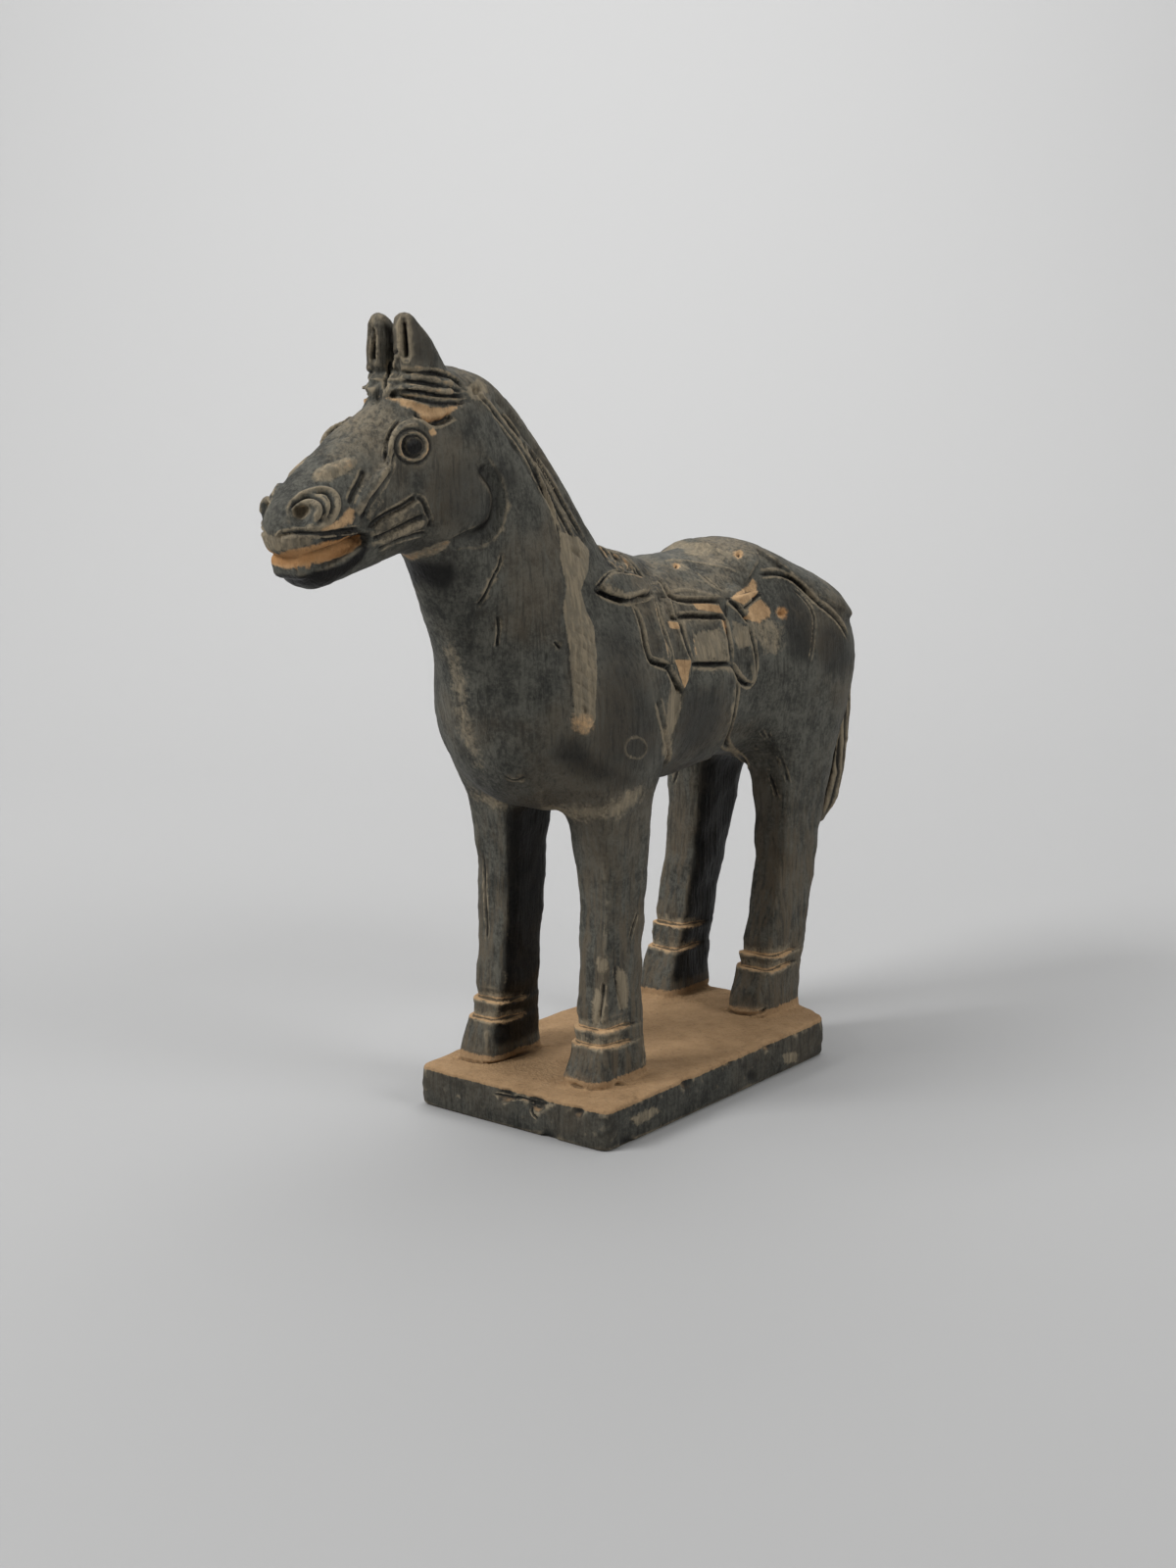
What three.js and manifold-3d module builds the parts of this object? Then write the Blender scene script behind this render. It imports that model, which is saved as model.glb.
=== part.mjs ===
// A pottery horse figure on its slab plinth: a saddled cavalry horse, both in one piece of fired grey clay.
// Units are millimetres, +Z is up and the horse faces -X, so its left flank faces -Y.
// The origin is the middle of the plinth's underside.
import * as THREE from 'three';
import Module from 'manifold-3d';
import { mergeVertices } from 'three/addons/utils/BufferGeometryUtils.js';

// Driving dimensions
const figureHeight = 264; // from the soles of the hooves to the tips of the ears
const plinthLength = 148;
const plinthWidth = 86;
const plinthThickness = 15;
const plinthCornerRadius = 4;
const plinthEdgeRadius = 1.4;
const drawnInLength = 8; // the plinth's left rear corner is drawn in, by this much of its length
const drawnInWidth = 16; // and by this much of its width
const figureForward = 5; // how far the horse's middle stands in front of the plinth's middle
const figureAside = 4.5; // the horse stands nearer the plinth's right-hand edge
const hoofSink = 1; // how deep the hooves are luted into the plinth

const incisedDepth = 1.3; // how deep the strokes of the modelling tool are

// How finely the form is sampled, and how many facets the finished skin has.
const sampleStep = 1.3;
const facets = 9200;

// The horse is a free form, so it is drawn in parts of its own height, this many from soles to ear tips.
// In these parts x is along the horse, y is out from its middle plane and z is up from its soles.
const partCount = 264;
const part = figureHeight / partCount;
const farOff = 16; // beyond this many parts two forms no longer blend
const reliefReach = 4; // the carving stays within this many parts of the plain form

// Solids are functions that give the distance from a point to their skin, negative inside.
const smoothUnion = (a, b, blend) => {
  const overlap = Math.max(blend - Math.abs(a - b), 0);
  return Math.min(a, b) - (overlap * overlap) / (4 * blend);
};
const smoothCut = (a, b, blend) => -smoothUnion(-a, b, blend);

const curveThrough = (points) => new THREE.CatmullRomCurve3(points, false, 'centripetal');

// An oval limb through stations [x, y, z, half depth, half width]. A higher power squares its sections.
function limb(stations, power = 2, smoothing = 3) {
  const path = curveThrough(stations.map(([x, y, z]) => new THREE.Vector3(x, y, z)));
  const girth = curveThrough(stations.map(([, , , depth, width], i) => new THREE.Vector3(depth, width, i)));
  const count = (stations.length - 1) * smoothing;
  const rows = [];
  for (let i = 0; i <= count; i++) {
    const at = path.getPoint(i / count);
    const size = girth.getPoint(i / count);
    rows.push([at.x, at.y, at.z, size.x, size.y]);
  }
  const radius = [3, 4, 3]; // which number of a row is its half size along x, y and z
  const low = radius.map((size, axis) => Math.min(...rows.map((row) => row[axis] - row[size])));
  const high = radius.map((size, axis) => Math.max(...rows.map((row) => row[axis] + row[size])));
  const distance = (x, y, z) => {
    // Far from the limb, the distance to the box around it does.
    const off = Math.max(low[0] - x, x - high[0], low[1] - y, y - high[1], low[2] - z, z - high[2]);
    if (off > farOff) return off;
    let nearest = Infinity;
    for (let i = 0; i < count; i++) {
      const a = rows[i];
      const b = rows[i + 1];
      const dx = b[0] - a[0];
      const dy = b[1] - a[1];
      const dz = b[2] - a[2];
      const along = ((x - a[0]) * dx + (y - a[1]) * dy + (z - a[2]) * dz) / (dx * dx + dy * dy + dz * dz);
      const t = Math.min(Math.max(along, 0), 1);
      const depth = a[3] + (b[3] - a[3]) * t;
      const width = a[4] + (b[4] - a[4]) * t;
      const inPlane = Math.hypot(x - a[0] - dx * t, z - a[2] - dz * t) / depth;
      const across = Math.abs(y - a[1] - dy * t) / width;
      const oval = power === 2;
      const size = oval ? Math.hypot(inPlane, across) : (inPlane ** power + across ** power) ** (1 / power);
      nearest = Math.min(nearest, (size - 1) * Math.min(depth, width));
    }
    return nearest;
  };
  return Object.assign(distance, { low, high });
}

// A round cord of clay through points [x, y, z].
const cord = (points, radius) => limb(points.map((point) => [...point, radius, radius]));

// An ellipsoid about a centre, tilted by an angle in degrees in the side view.
function boss([cx, cy, cz], [rx, ry, rz], tilt = 0) {
  const c = Math.cos(THREE.MathUtils.degToRad(tilt));
  const s = Math.sin(THREE.MathUtils.degToRad(tilt));
  const least = Math.min(rx, ry, rz);
  return (x, y, z) => {
    const u = (x - cx) * c + (z - cz) * s;
    const v = -(x - cx) * s + (z - cz) * c;
    return (Math.hypot(u / rx, (y - cy) / ry, v / rz) - 1) * least;
  };
}

// A ring that lies flat on a flank.
const ring = ([cx, cy, cz], radius, thick) => (x, y, z) => (
  Math.hypot(Math.hypot(x - cx, z - cz) - radius, y - cy) - thick
);

// The inside of a convex outline [x, z] drawn on the side view, anticlockwise as seen with +X to the right.
function outlined(points) {
  const edges = points.map(([x, z], i) => {
    const [nextX, nextZ] = points[(i + 1) % points.length];
    const length = Math.hypot(nextX - x, nextZ - z);
    return { x, z, outX: (nextZ - z) / length, outZ: (x - nextX) / length };
  });
  return (x, z) => {
    let off = -Infinity;
    for (const edge of edges) off = Math.max(off, (x - edge.x) * edge.outX + (z - edge.z) * edge.outZ);
    return off;
  };
}

// A line [x, z] drawn on the side view, with its half width: the shape of a stroke of the modelling tool.
function stroke(points, halfWidth) {
  const spans = points.slice(1).map(([x, z], i) => {
    const [fromX, fromZ] = points[i];
    return { fromX, fromZ, dx: x - fromX, dz: z - fromZ };
  });
  return (x, y, z) => {
    let nearest = Infinity;
    for (const { fromX, fromZ, dx, dz } of spans) {
      const along = ((x - fromX) * dx + (z - fromZ) * dz) / (dx * dx + dz * dz);
      const t = Math.min(Math.max(along, 0), 1);
      nearest = Math.min(nearest, Math.hypot(x - fromX - dx * t, z - fromZ - dz * t));
    }
    return nearest - halfWidth;
  };
}

// Takes clay away within a region, down to a depth below the plain form.
const incise = (d, plain, region, depth) => Math.max(d, Math.min(-region, plain + depth));

// Trunk and neck
const trunk = limb([
  [-46, 0, 131, 35, 33],
  [-18, 0, 134, 38, 33],
  [20, 0, 136.5, 38.5, 32],
  [60, 0, 139, 39.5, 31],
  [90, 0, 134.5, 33, 32],
], 2, 5);
const withers = boss([-12, 0, 160.5], [34, 13, 21], -10);
const shoulder = boss([-34, 25, 120], [20, 11, 22]);
const cantle = boss([63, 0, 165.5], [24, 24, 15], -8);
const neck = limb([
  [-46, 0, 150, 40, 28],
  [-68, 0, 185, 36, 21],
  [-87, 0, 210, 30, 17],
  [-96, 0, 223, 24, 15],
], 2, 7);

// Head
const skull = limb([
  [-104, 0, 218, 26, 17],
  [-130, 0, 210.7, 21, 15.3],
  [-150, 0, 203.5, 16, 13.5],
  [-160, 0, 200, 12.5, 11.5],
], 2, 6);
const lowerJaw = limb([
  [-118, 0, 205, 13, 13],
  [-138, 0, 196, 10.5, 12],
  [-157, 0, 188.5, 7.5, 10.5],
]);
const brow = boss([-124, 8, 225.5], [9, 7, 5], 25);
const nostril = boss([-160, 8, 205.5], [7.5, 5.5, 5.5], 20);
const nostrilHole = boss([-167.5, 8.5, 204.5], [3.4, 4, 3], 20);
const jowl = boss([-103, 7, 204], [17, 12, 14.5]);
const forelock = boss([-109, 0, 239.5], [16.5, 15, 8.5]);
const mouth = limb([
  [-176, 0, 188, 2.2, 30],
  [-160, 0, 191.5, 2.8, 30],
  [-145, 0, 196.5, 1.8, 30],
]);
const eyeball = boss([-127.5, 11.5, 223.8], [3.8, 4.8, 3.8]);
const eyeRing = ring([-127.5, 14.6, 223.8], 5.3, 1.1);
const ear = limb([
  [-110, 6, 240, 11, 6],
  [-114, 5.8, 251, 8, 5.8],
  [-118, 5.3, 261, 3.4, 4],
]);
const earSlit = cord([[-123.5, 6.5, 259], [-124.5, 6.5, 249]], 2);
const faceRidges = [
  cord([[-136, 13.6, 217], [-133.5, 14, 226], [-124, 14, 230.4], [-113, 14.8, 226.5]], 1.2),
  cord([[-135, 15, 218], [-141.5, 14.6, 212], [-149, 13.6, 205.5]], 1.6),
  cord([[-123, 15.6, 207], [-133, 14.8, 202.5], [-143, 13.5, 198.3]], 1.4),
  cord([[-118, 14.6, 201], [-130, 14, 198], [-142, 12.8, 195]], 1.4),
  cord([[-160, 9.5, 209.5], [-156.5, 12, 205.5], [-160, 11.5, 201.5]], 1.5),
];

// Mane, with combed grooves along each side of it, and a parted forelock with its own
const mane = limb([
  [-97, 0, 240, 6, 4.5],
  [-80, 0, 237.5, 7, 6],
  [-64, 0, 226, 7, 7],
  [-51, 0, 211.5, 7, 8],
  [-39, 0, 195, 7, 9],
  [-26, 0, 180, 7, 8],
  [-8, 0, 173, 6, 5],
]);
const parting = (x, y, z) => Math.max(y - 1.3, x + 112, 236 - z, z - 254);
const combing = [];
for (let n = 0; n < 3; n++) {
  const lock = [[-123, 245.5 - 3.4 * n], [-112, 245 - 3.2 * n], [-97, 242 - 2.4 * n]];
  const strand = [[-84 + 4 * n, 233 + 2 * n], [-66 + 6 * n, 209 + 3 * n], [-52 + 7 * n, 188]];
  const end = [[-27 + 4 * n, 188 - n], [-18 + 4 * n, 181 - n], [-12 + 3 * n, 175 - n]];
  combing.push(stroke(lock, 1), stroke(strand, 1.2), stroke(end, 0.8));
}

// Legs and tail
const foreleg = limb([
  [-40, 19, 128, 21, 15],
  [-35, 22, 98, 15, 11.5],
  [-33, 23, 72, 12.5, 8.8],
  [-35, 23, 45, 11.5, 8],
  [-36, 23.5, 22, 12, 8],
  [-38.5, 24.2, 9, 14.5, 9],
  [-39.8, 24.2, -6, 16.8, 10],
], 3.5);
const hindleg = limb([
  [88, 18, 130, 30, 15],
  [86, 20, 100, 19, 12],
  [84, 20.5, 80, 15, 10],
  [81, 21, 60, 13, 9],
  [76, 21.5, 40, 12, 8.8],
  [70.5, 21.5, 20, 12.4, 9],
  [67.5, 21.5, 9, 14, 9.4],
  [65.5, 21.5, -6, 16, 10],
], 3.5);
const fetlockCuts = [[-44, 20], [-46, 14.5], [64, 25], [62, 18.5]].map(([back, height]) => (
  stroke([[back - 10, height], [back, height - 0.5]], 1.2)
));
const tail = limb([
  [84, 0, 161.5, 8, 9],
  [110, 0, 153.5, 9, 9],
  [132, 0, 142, 10, 8],
  [138.5, 0, 126, 14.5, 7.5],
  [142.5, 0, 104, 9.5, 7],
  [141, 0, 80, 6, 6.5],
  [136, 0, 62, 3.5, 5],
]);
const tailStrands = [
  stroke([[142, 136], [142, 105], [138, 80], [134, 64]], 1),
  (x, y, z) => Math.max(Math.abs(y - 2.8) - 0.9, 139 - x, z - 134),
];

// Saddle and harness: flat shapes on each flank, as [how far they stand up, how far out they start, outline].
const harness = [
  [1.6, 0, [[-8, 168], [1, 166], [13, 164], [26, 162.5], [38, 164], [50, 169], [75, 185], [66, 200]]],
  [1, 0, [[0, 161], [26, 158], [30, 168], [0, 170]]],
  [0.9, 0, [[0.5, 142.5], [25.5, 140], [27.5, 156.5], [-1, 157.5]]],
  [1, 0, [[-10, 118], [-7, 96], [38, 96], [33, 121], [26, 139], [-8.5, 136]]],
  [1.6, 0, [[-19.5, 146.5], [-11, 145], [-6, 167], [-16.5, 168]]],
  [1.9, 0, [[-8, 134.5], [-1, 143], [1.5, 165], [-5, 165], [-6, 147]]],
  [1.7, 0, [[33.5, 147], [37.5, 131], [41.5, 134], [44, 166], [29, 163]]],
  [2.2, 15, [[-44, 173], [-28, 167.5], [-12.5, 167], [-7.5, 170], [-12.5, 176], [-28, 180]]],
  [1.7, 0, [[54, 172], [64, 168], [80, 160.5], [94, 150], [112, 133], [112, 190], [78, 190]]],
].map(([height, from, points]) => ({ height, from, outline: outlined(points) }));
const rearTie = boss([36, 25.5, 163], [5.5, 3.5, 4.5], 30);

// The horse without its carving
function plainHorse(x, y, z) {
  let head = smoothUnion(skull(x, y, z), lowerJaw(x, y, z), 5);
  head = smoothUnion(head, brow(x, y, z), 4);
  head = smoothUnion(head, nostril(x, y, z), 2);
  let d = smoothUnion(trunk(x, y, z), neck(x, y, z), 14);
  d = smoothUnion(d, withers(x, y, z), 10);
  d = smoothUnion(d, cantle(x, y, z), 3);
  d = smoothUnion(d, shoulder(x, y, z), 7);
  d = smoothUnion(d, smoothCut(head, mouth(x, y, z), 1), 6);
  d = smoothUnion(d, jowl(x, y, z), 1.5);
  d = smoothUnion(d, foreleg(x, y, z), 9);
  d = smoothUnion(d, hindleg(x, y, z), 12);
  d = smoothUnion(d, tail(x, y, z), 4);
  d = smoothUnion(d, mane(x, y, z), 3);
  d = smoothUnion(d, forelock(x, y, z), 2);
  return smoothUnion(d, ear(x, y, z), 1.5);
}

// The whole horse: each flank is the mirror of the other.
function horse(x, side, z) {
  const y = Math.abs(side);
  const underSoles = -hoofSink / part - z;
  const plain = plainHorse(x, y, z);
  if (Math.abs(plain) > reliefReach) return Math.max(plain, underSoles);
  let d = plain;
  for (const { height, from, outline } of harness) {
    if (plain < height + 1) d = Math.min(d, Math.max(plain - height, outline(x, z), from - y));
  }
  d = smoothUnion(d, rearTie(x, y, z), 0.5);
  for (const ridge of [eyeball, eyeRing, ...faceRidges]) d = smoothUnion(d, ridge(x, y, z), 1);
  for (const hollow of [nostrilHole, earSlit]) d = smoothCut(d, hollow(x, y, z), 0.8);
  for (const cut of [parting, ...combing, ...tailStrands, ...fetlockCuts]) {
    d = incise(d, plain, cut(x, y, z), incisedDepth / part);
  }
  return Math.max(d, underSoles);
}

// Calls visit for each cell of a block of cells, from low to high.
function eachCell(low, high, visit) {
  for (let k = low[2]; k < high[2]; k++) {
    for (let j = low[1]; j < high[1]; j++) {
      for (let i = low[0]; i < high[0]; i++) visit(i, j, k);
    }
  }
}

// Where solid meets solid, or space meets space, only across a corner, the skin would touch itself.
// There the outside corner that lies nearer to the skin is filled in, until no such place is left.
function fillCorners(value, cells, stride, step) {
  const filling = -0.01 * step;
  const squares = [[0, 1], [1, 2], [2, 0]].map(([a, b]) => [stride[a], stride[b]]);
  const whole = stride[0] + stride[1] + stride[2];
  const crossings = [0, 1, 2].map((axis) => [stride[axis], whole - stride[axis]]);
  crossings.push([0, whole]);
  const corners = [0, ...stride, ...stride.map((side) => whole - side), whole];
  let found = true;
  const fill = (a, b) => {
    value[value[a] < value[b] ? a : b] = filling;
    found = true;
  };
  while (found) {
    found = false;
    eachCell([0, 0, 0], cells.map((n) => n - 1), (i, j, k) => {
      const here = i + stride[1] * j + stride[2] * k;
      for (const [s, t] of squares) {
        const inside = value[here] < 0;
        if (value[here + s + t] < 0 !== inside || value[here + s] < 0 === inside) continue;
        if (value[here + t] < 0 === inside) continue;
        if (inside) fill(here + s, here + t);
        else fill(here, here + s + t);
      }
      for (const [s, t] of crossings) {
        if (value[here + s] < 0 || value[here + t] < 0) continue;
        const outside = corners.filter((corner) => value[here + corner] >= 0);
        if (outside.length === 2) fill(here + s, here + t);
      }
    });
  }
}

// Surface nets: a vertex in each cell that the skin crosses, and a square across each edge that it crosses.
function skinOf(distance, low, high, step) {
  const cells = low.map((l, axis) => Math.ceil((high[axis] - l) / step) + 1);
  const stride = [1, cells[0], cells[0] * cells[1]];
  const value = new Float32Array(cells[0] * cells[1] * cells[2]).fill(1);
  const at = (i, j, k) => i + stride[1] * j + stride[2] * k;
  // Blocks that the skin can't reach take the distance at their middle.
  const block = 4;
  const reach = block * step * 0.9;
  eachCell([0, 0, 0], cells.map((n) => Math.ceil(n / block)), (i, j, k) => {
    const first = [i * block, j * block, k * block];
    const last = first.map((n, axis) => Math.min(n + block, cells[axis]));
    const there = distance(...first.map((n, axis) => low[axis] + (n + block / 2) * step));
    const far = Math.abs(there) > reach;
    eachCell(first, last, (a, b, c) => {
      value[at(a, b, c)] = far ? there : distance(low[0] + a * step, low[1] + b * step, low[2] + c * step);
    });
  });
  fillCorners(value, cells, stride, step);
  const corners = [];
  for (let n = 0; n < 8; n++) corners.push([n & 1, (n >> 1) & 1, n >> 2]);
  const vertices = [];
  const vertexAt = new Map();
  eachCell([0, 0, 0], cells.map((n) => n - 1), (i, j, k) => {
    const v = corners.map(([a, b, c]) => value[at(i + a, j + b, k + c)]);
    const inside = [...v.keys()].filter((n) => v[n] < 0);
    if (inside.length === 0 || inside.length === corners.length) return;
    // Inside corners that the cell's edges don't join belong to separate sheets, so they get a vertex each.
    const seen = new Set();
    for (const first of inside) {
      if (seen.has(first)) continue;
      seen.add(first);
      const open = [first];
      const sum = [0, 0, 0];
      let crossings = 0;
      while (open.length) {
        const n = open.pop();
        vertexAt.set(corners.length * at(i, j, k) + n, vertices.length / 3);
        for (const bit of [1, 2, 4]) {
          const m = n ^ bit;
          if (v[m] >= 0) {
            const t = v[n] / (v[n] - v[m]);
            sum.forEach((_, axis) => {
              sum[axis] += corners[n][axis] + t * (corners[m][axis] - corners[n][axis]);
            });
            crossings++;
          } else if (!seen.has(m)) {
            seen.add(m);
            open.push(m);
          }
        }
      }
      vertices.push(...[i, j, k].map((n, axis) => low[axis] + (n + sum[axis] / crossings) * step));
    }
  });
  const triangles = [];
  eachCell([1, 1, 1], cells.map((n) => n - 1), (i, j, k) => {
    const here = at(i, j, k);
    for (let axis = 0; axis < 3; axis++) {
      const inside = value[here] < 0;
      if (inside === value[here + stride[axis]] < 0) continue;
      const across = (axis + 1) % 3;
      const up = (axis + 2) % 3;
      const inner = inside ? 0 : 1 << axis;
      const [a, b, c, d] = [[0, 0], [1, 0], [1, 1], [0, 1]].map(([s, t]) => {
        const cell = here - s * stride[across] - t * stride[up];
        return vertexAt.get(corners.length * cell + inner + (s << across) + (t << up));
      });
      triangles.push(...(inside ? [a, b, c, a, c, d] : [a, c, b, a, d, c]));
    }
  });
  return { vertices, triangles };
}

// A queue that gives back the item of least cost first.
class Queue {
  items = [];

  push(item) {
    let i = this.items.push(item) - 1;
    while (i > 0 && this.items[(i - 1) >> 1].cost > item.cost) {
      this.items[i] = this.items[(i - 1) >> 1];
      i = (i - 1) >> 1;
    }
    this.items[i] = item;
  }

  pop() {
    const least = this.items[0];
    const last = this.items.pop();
    if (!this.items.length) return least;
    let i = 0;
    for (let child = 1; child < this.items.length; child = 2 * i + 1) {
      const other = child + 1;
      if (other < this.items.length && this.items[other].cost < this.items[child].cost) child = other;
      if (this.items[child].cost >= last.cost) break;
      this.items[i] = this.items[child];
      i = child;
    }
    this.items[i] = last;
    return least;
  }
}

// Joins the ends of the edges whose loss changes the form least, by quadric error, down to a target.
function simplify({ vertices, triangles }, target) {
  const axes = [0, 1, 2];
  const softening = 1e-3; // pulls a joined vertex towards the middle of its edge
  const lengthCost = 1e-4; // prefers short edges where the form is flat
  const leastTurn = 0.3; // the cosine past which a facet has turned too far
  const v = Float64Array.from(vertices);
  const count = v.length / 3;
  const around = Array.from({ length: count }, () => new Set());
  const quadric = Array.from({ length: count }, () => new Float64Array(10));
  const version = new Uint32Array(count);
  const faces = [];
  const queue = new Queue();
  const normalOf = (face) => {
    const [u, w] = [1, 2].map((n) => axes.map((axis) => v[3 * face[n] + axis] - v[3 * face[0] + axis]));
    return [u[1] * w[2] - u[2] * w[1], u[2] * w[0] - u[0] * w[2], u[0] * w[1] - u[1] * w[0]];
  };
  for (let i = 0; i < triangles.length; i += 3) {
    const face = triangles.slice(i, i + 3);
    const normal = normalOf(face);
    const area = Math.hypot(...normal) || 1e-12;
    const [a, b, c] = normal.map((n) => n / area);
    const d = -(a * v[3 * face[0]] + b * v[3 * face[0] + 1] + c * v[3 * face[0] + 2]);
    const terms = [a * a, a * b, a * c, a * d, b * b, b * c, b * d, c * c, c * d, d * d];
    for (const corner of face) {
      terms.forEach((term, m) => { quadric[corner][m] += term * area; });
      around[corner].add(faces.length);
    }
    faces.push(face);
  }
  const errorAt = (q, [x, y, z]) => (
    q[0] * x * x + q[4] * y * y + q[7] * z * z + q[9]
    + 2 * (q[1] * x * y + q[2] * x * z + q[5] * y * z + q[3] * x + q[6] * y + q[8] * z)
  );
  const offer = (a, b) => {
    const q = quadric[a].map((e, m) => e + quadric[b][m]);
    const soft = softening * (q[0] + q[4] + q[7]);
    const mid = axes.map((axis) => (v[3 * a + axis] + v[3 * b + axis]) / 2);
    const matrix = new THREE.Matrix3();
    matrix.set(q[0] + soft, q[1], q[2], q[1], q[4] + soft, q[5], q[2], q[5], q[7] + soft);
    const pull = new THREE.Vector3(soft * mid[0] - q[3], soft * mid[1] - q[6], soft * mid[2] - q[8]);
    const point = pull.applyMatrix3(matrix.invert()).toArray();
    const length = Math.hypot(...axes.map((axis) => v[3 * a + axis] - v[3 * b + axis]));
    const cost = errorAt(q, point) + lengthCost * length ** 4;
    queue.push({ a, b, versionA: version[a], versionB: version[b], point, q, cost });
  };
  const neighbours = (a) => {
    const found = new Set([...around[a]].flatMap((f) => faces[f]));
    found.delete(a);
    return found;
  };
  for (let a = 0; a < count; a++) {
    for (const b of neighbours(a)) if (a < b) offer(a, b);
  }
  let left = faces.length;
  while (left > target && queue.items.length) {
    const { a, b, versionA, versionB, point, q } = queue.pop();
    if (version[a] !== versionA || version[b] !== versionB) continue;
    const nearB = neighbours(b);
    if ([...neighbours(a)].filter((n) => nearB.has(n)).length !== 2) continue;
    const kept = [...around[a], ...around[b]].filter((f) => !(faces[f].includes(a) && faces[f].includes(b)));
    const before = kept.map((f) => normalOf(faces[f]));
    const oldA = v.slice(3 * a, 3 * a + 3);
    const oldB = v.slice(3 * b, 3 * b + 3);
    v.set(point, 3 * a);
    v.set(point, 3 * b);
    const turned = kept.some((f, n) => {
      const after = normalOf(faces[f]);
      const dot = after[0] * before[n][0] + after[1] * before[n][1] + after[2] * before[n][2];
      return dot < leastTurn * Math.hypot(...after) * Math.hypot(...before[n]);
    });
    if (turned) {
      v.set(oldA, 3 * a);
      v.set(oldB, 3 * b);
      continue;
    }
    for (const f of [...around[b]]) {
      if (faces[f].includes(a)) {
        for (const corner of faces[f]) around[corner].delete(f);
        faces[f] = null;
        left--;
      } else {
        faces[f] = faces[f].map((corner) => (corner === b ? a : corner));
        around[a].add(f);
      }
    }
    around[b].clear();
    quadric[a] = q;
    version[a]++;
    version[b]++;
    for (const n of neighbours(a)) offer(a, n);
  }
  return { vertices: v, triangles: faces.filter(Boolean).flat() };
}

// The horse's skin at its real size, standing on the plinth.
function horseGeometry() {
  const limbs = [trunk, neck, skull, ear, mane, foreleg, hindleg, tail];
  const room = reliefReach + farOff / 4; // for the carving, and for the swell where two forms blend
  const low = [0, 1, 2].map((axis) => Math.min(...limbs.map((one) => one.low[axis])) - room);
  const high = [0, 1, 2].map((axis) => Math.max(...limbs.map((one) => one.high[axis])) + room);
  low[1] = -high[1];
  const skin = simplify(skinOf(horse, low, high, sampleStep / part), facets);
  const geometry = new THREE.BufferGeometry();
  geometry.setAttribute('position', new THREE.Float32BufferAttribute(skin.vertices, 3));
  geometry.setIndex(skin.triangles);
  geometry.scale(part, part, part);
  geometry.translate(-figureForward, figureAside, plinthThickness);
  return geometry;
}

// The slab: a rectangle with rounded corners, its left rear corner drawn in, and its edges rubbed round.
function plinthGeometry() {
  const x = plinthLength / 2 - plinthEdgeRadius;
  const y = plinthWidth / 2 - plinthEdgeRadius;
  const corners = [[-x, -y], [x - drawnInLength, -y], [x, drawnInWidth - y], [x, y], [-x, y]];
  const shape = new THREE.Shape();
  corners.forEach((corner, i) => {
    const here = new THREE.Vector2(...corner);
    const before = new THREE.Vector2(...corners.at(i - 1)).sub(here).setLength(plinthCornerRadius).add(here);
    const after = new THREE.Vector2(...corners[(i + 1) % corners.length]);
    after.sub(here).setLength(plinthCornerRadius).add(here);
    if (i === 0) shape.moveTo(before.x, before.y);
    else shape.lineTo(before.x, before.y);
    shape.quadraticCurveTo(here.x, here.y, after.x, after.y);
  });
  shape.closePath();
  const geometry = new THREE.ExtrudeGeometry(shape, {
    depth: plinthThickness - 2 * plinthEdgeRadius,
    bevelThickness: plinthEdgeRadius,
    bevelSize: plinthEdgeRadius,
    bevelSegments: 2,
    curveSegments: 3,
  });
  geometry.translate(0, 0, plinthEdgeRadius);
  return geometry;
}

const wasm = await Module();
wasm.setup();

function solidOf(geometry) {
  const bare = geometry.clone();
  bare.deleteAttribute('normal');
  bare.deleteAttribute('uv');
  const merged = mergeVertices(bare);
  return new wasm.Manifold(new wasm.Mesh({
    numProp: 3,
    vertProperties: new Float32Array(merged.attributes.position.array),
    triVerts: new Uint32Array(merged.index.array),
  }));
}

function geometryOf(solid) {
  const mesh = solid.getMesh();
  const geometry = new THREE.BufferGeometry();
  geometry.setAttribute('position', new THREE.BufferAttribute(mesh.vertProperties, 3));
  geometry.setIndex(new THREE.BufferAttribute(mesh.triVerts, 1));
  geometry.computeVertexNormals();
  return geometry;
}

const clay = new THREE.MeshStandardMaterial({ color: 0x4a4b46, roughness: 0.9, metalness: 0 });
const figure = new THREE.Mesh(geometryOf(solidOf(horseGeometry()).add(solidOf(plinthGeometry()))), clay);
figure.name = 'horse_on_plinth';
const group = new THREE.Group();
group.add(figure);
export default group;
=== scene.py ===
import math

import bpy
import numpy as np
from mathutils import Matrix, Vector


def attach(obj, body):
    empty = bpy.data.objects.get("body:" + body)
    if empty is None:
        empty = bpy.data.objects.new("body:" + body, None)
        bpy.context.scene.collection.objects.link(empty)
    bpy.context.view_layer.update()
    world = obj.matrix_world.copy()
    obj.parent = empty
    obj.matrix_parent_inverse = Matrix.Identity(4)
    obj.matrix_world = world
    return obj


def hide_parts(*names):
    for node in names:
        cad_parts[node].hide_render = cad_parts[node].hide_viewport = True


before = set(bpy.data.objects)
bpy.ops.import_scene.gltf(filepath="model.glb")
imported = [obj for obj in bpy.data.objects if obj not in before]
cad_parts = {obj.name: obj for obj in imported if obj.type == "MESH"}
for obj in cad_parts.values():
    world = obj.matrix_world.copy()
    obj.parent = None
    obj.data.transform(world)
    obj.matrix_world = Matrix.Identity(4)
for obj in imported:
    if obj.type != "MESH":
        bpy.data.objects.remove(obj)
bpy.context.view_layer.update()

# The photographer stands at the horse's left front and looks down a little, from about 85 cm away,
# through a normal lens. A pixel is written (across, down) in the 1200 x 1600 frame, other sizes in mm.
PHOTO_MIDDLE = np.array([600.0, 800.0])
PIXELS_DOWN = 1600.0
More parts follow.
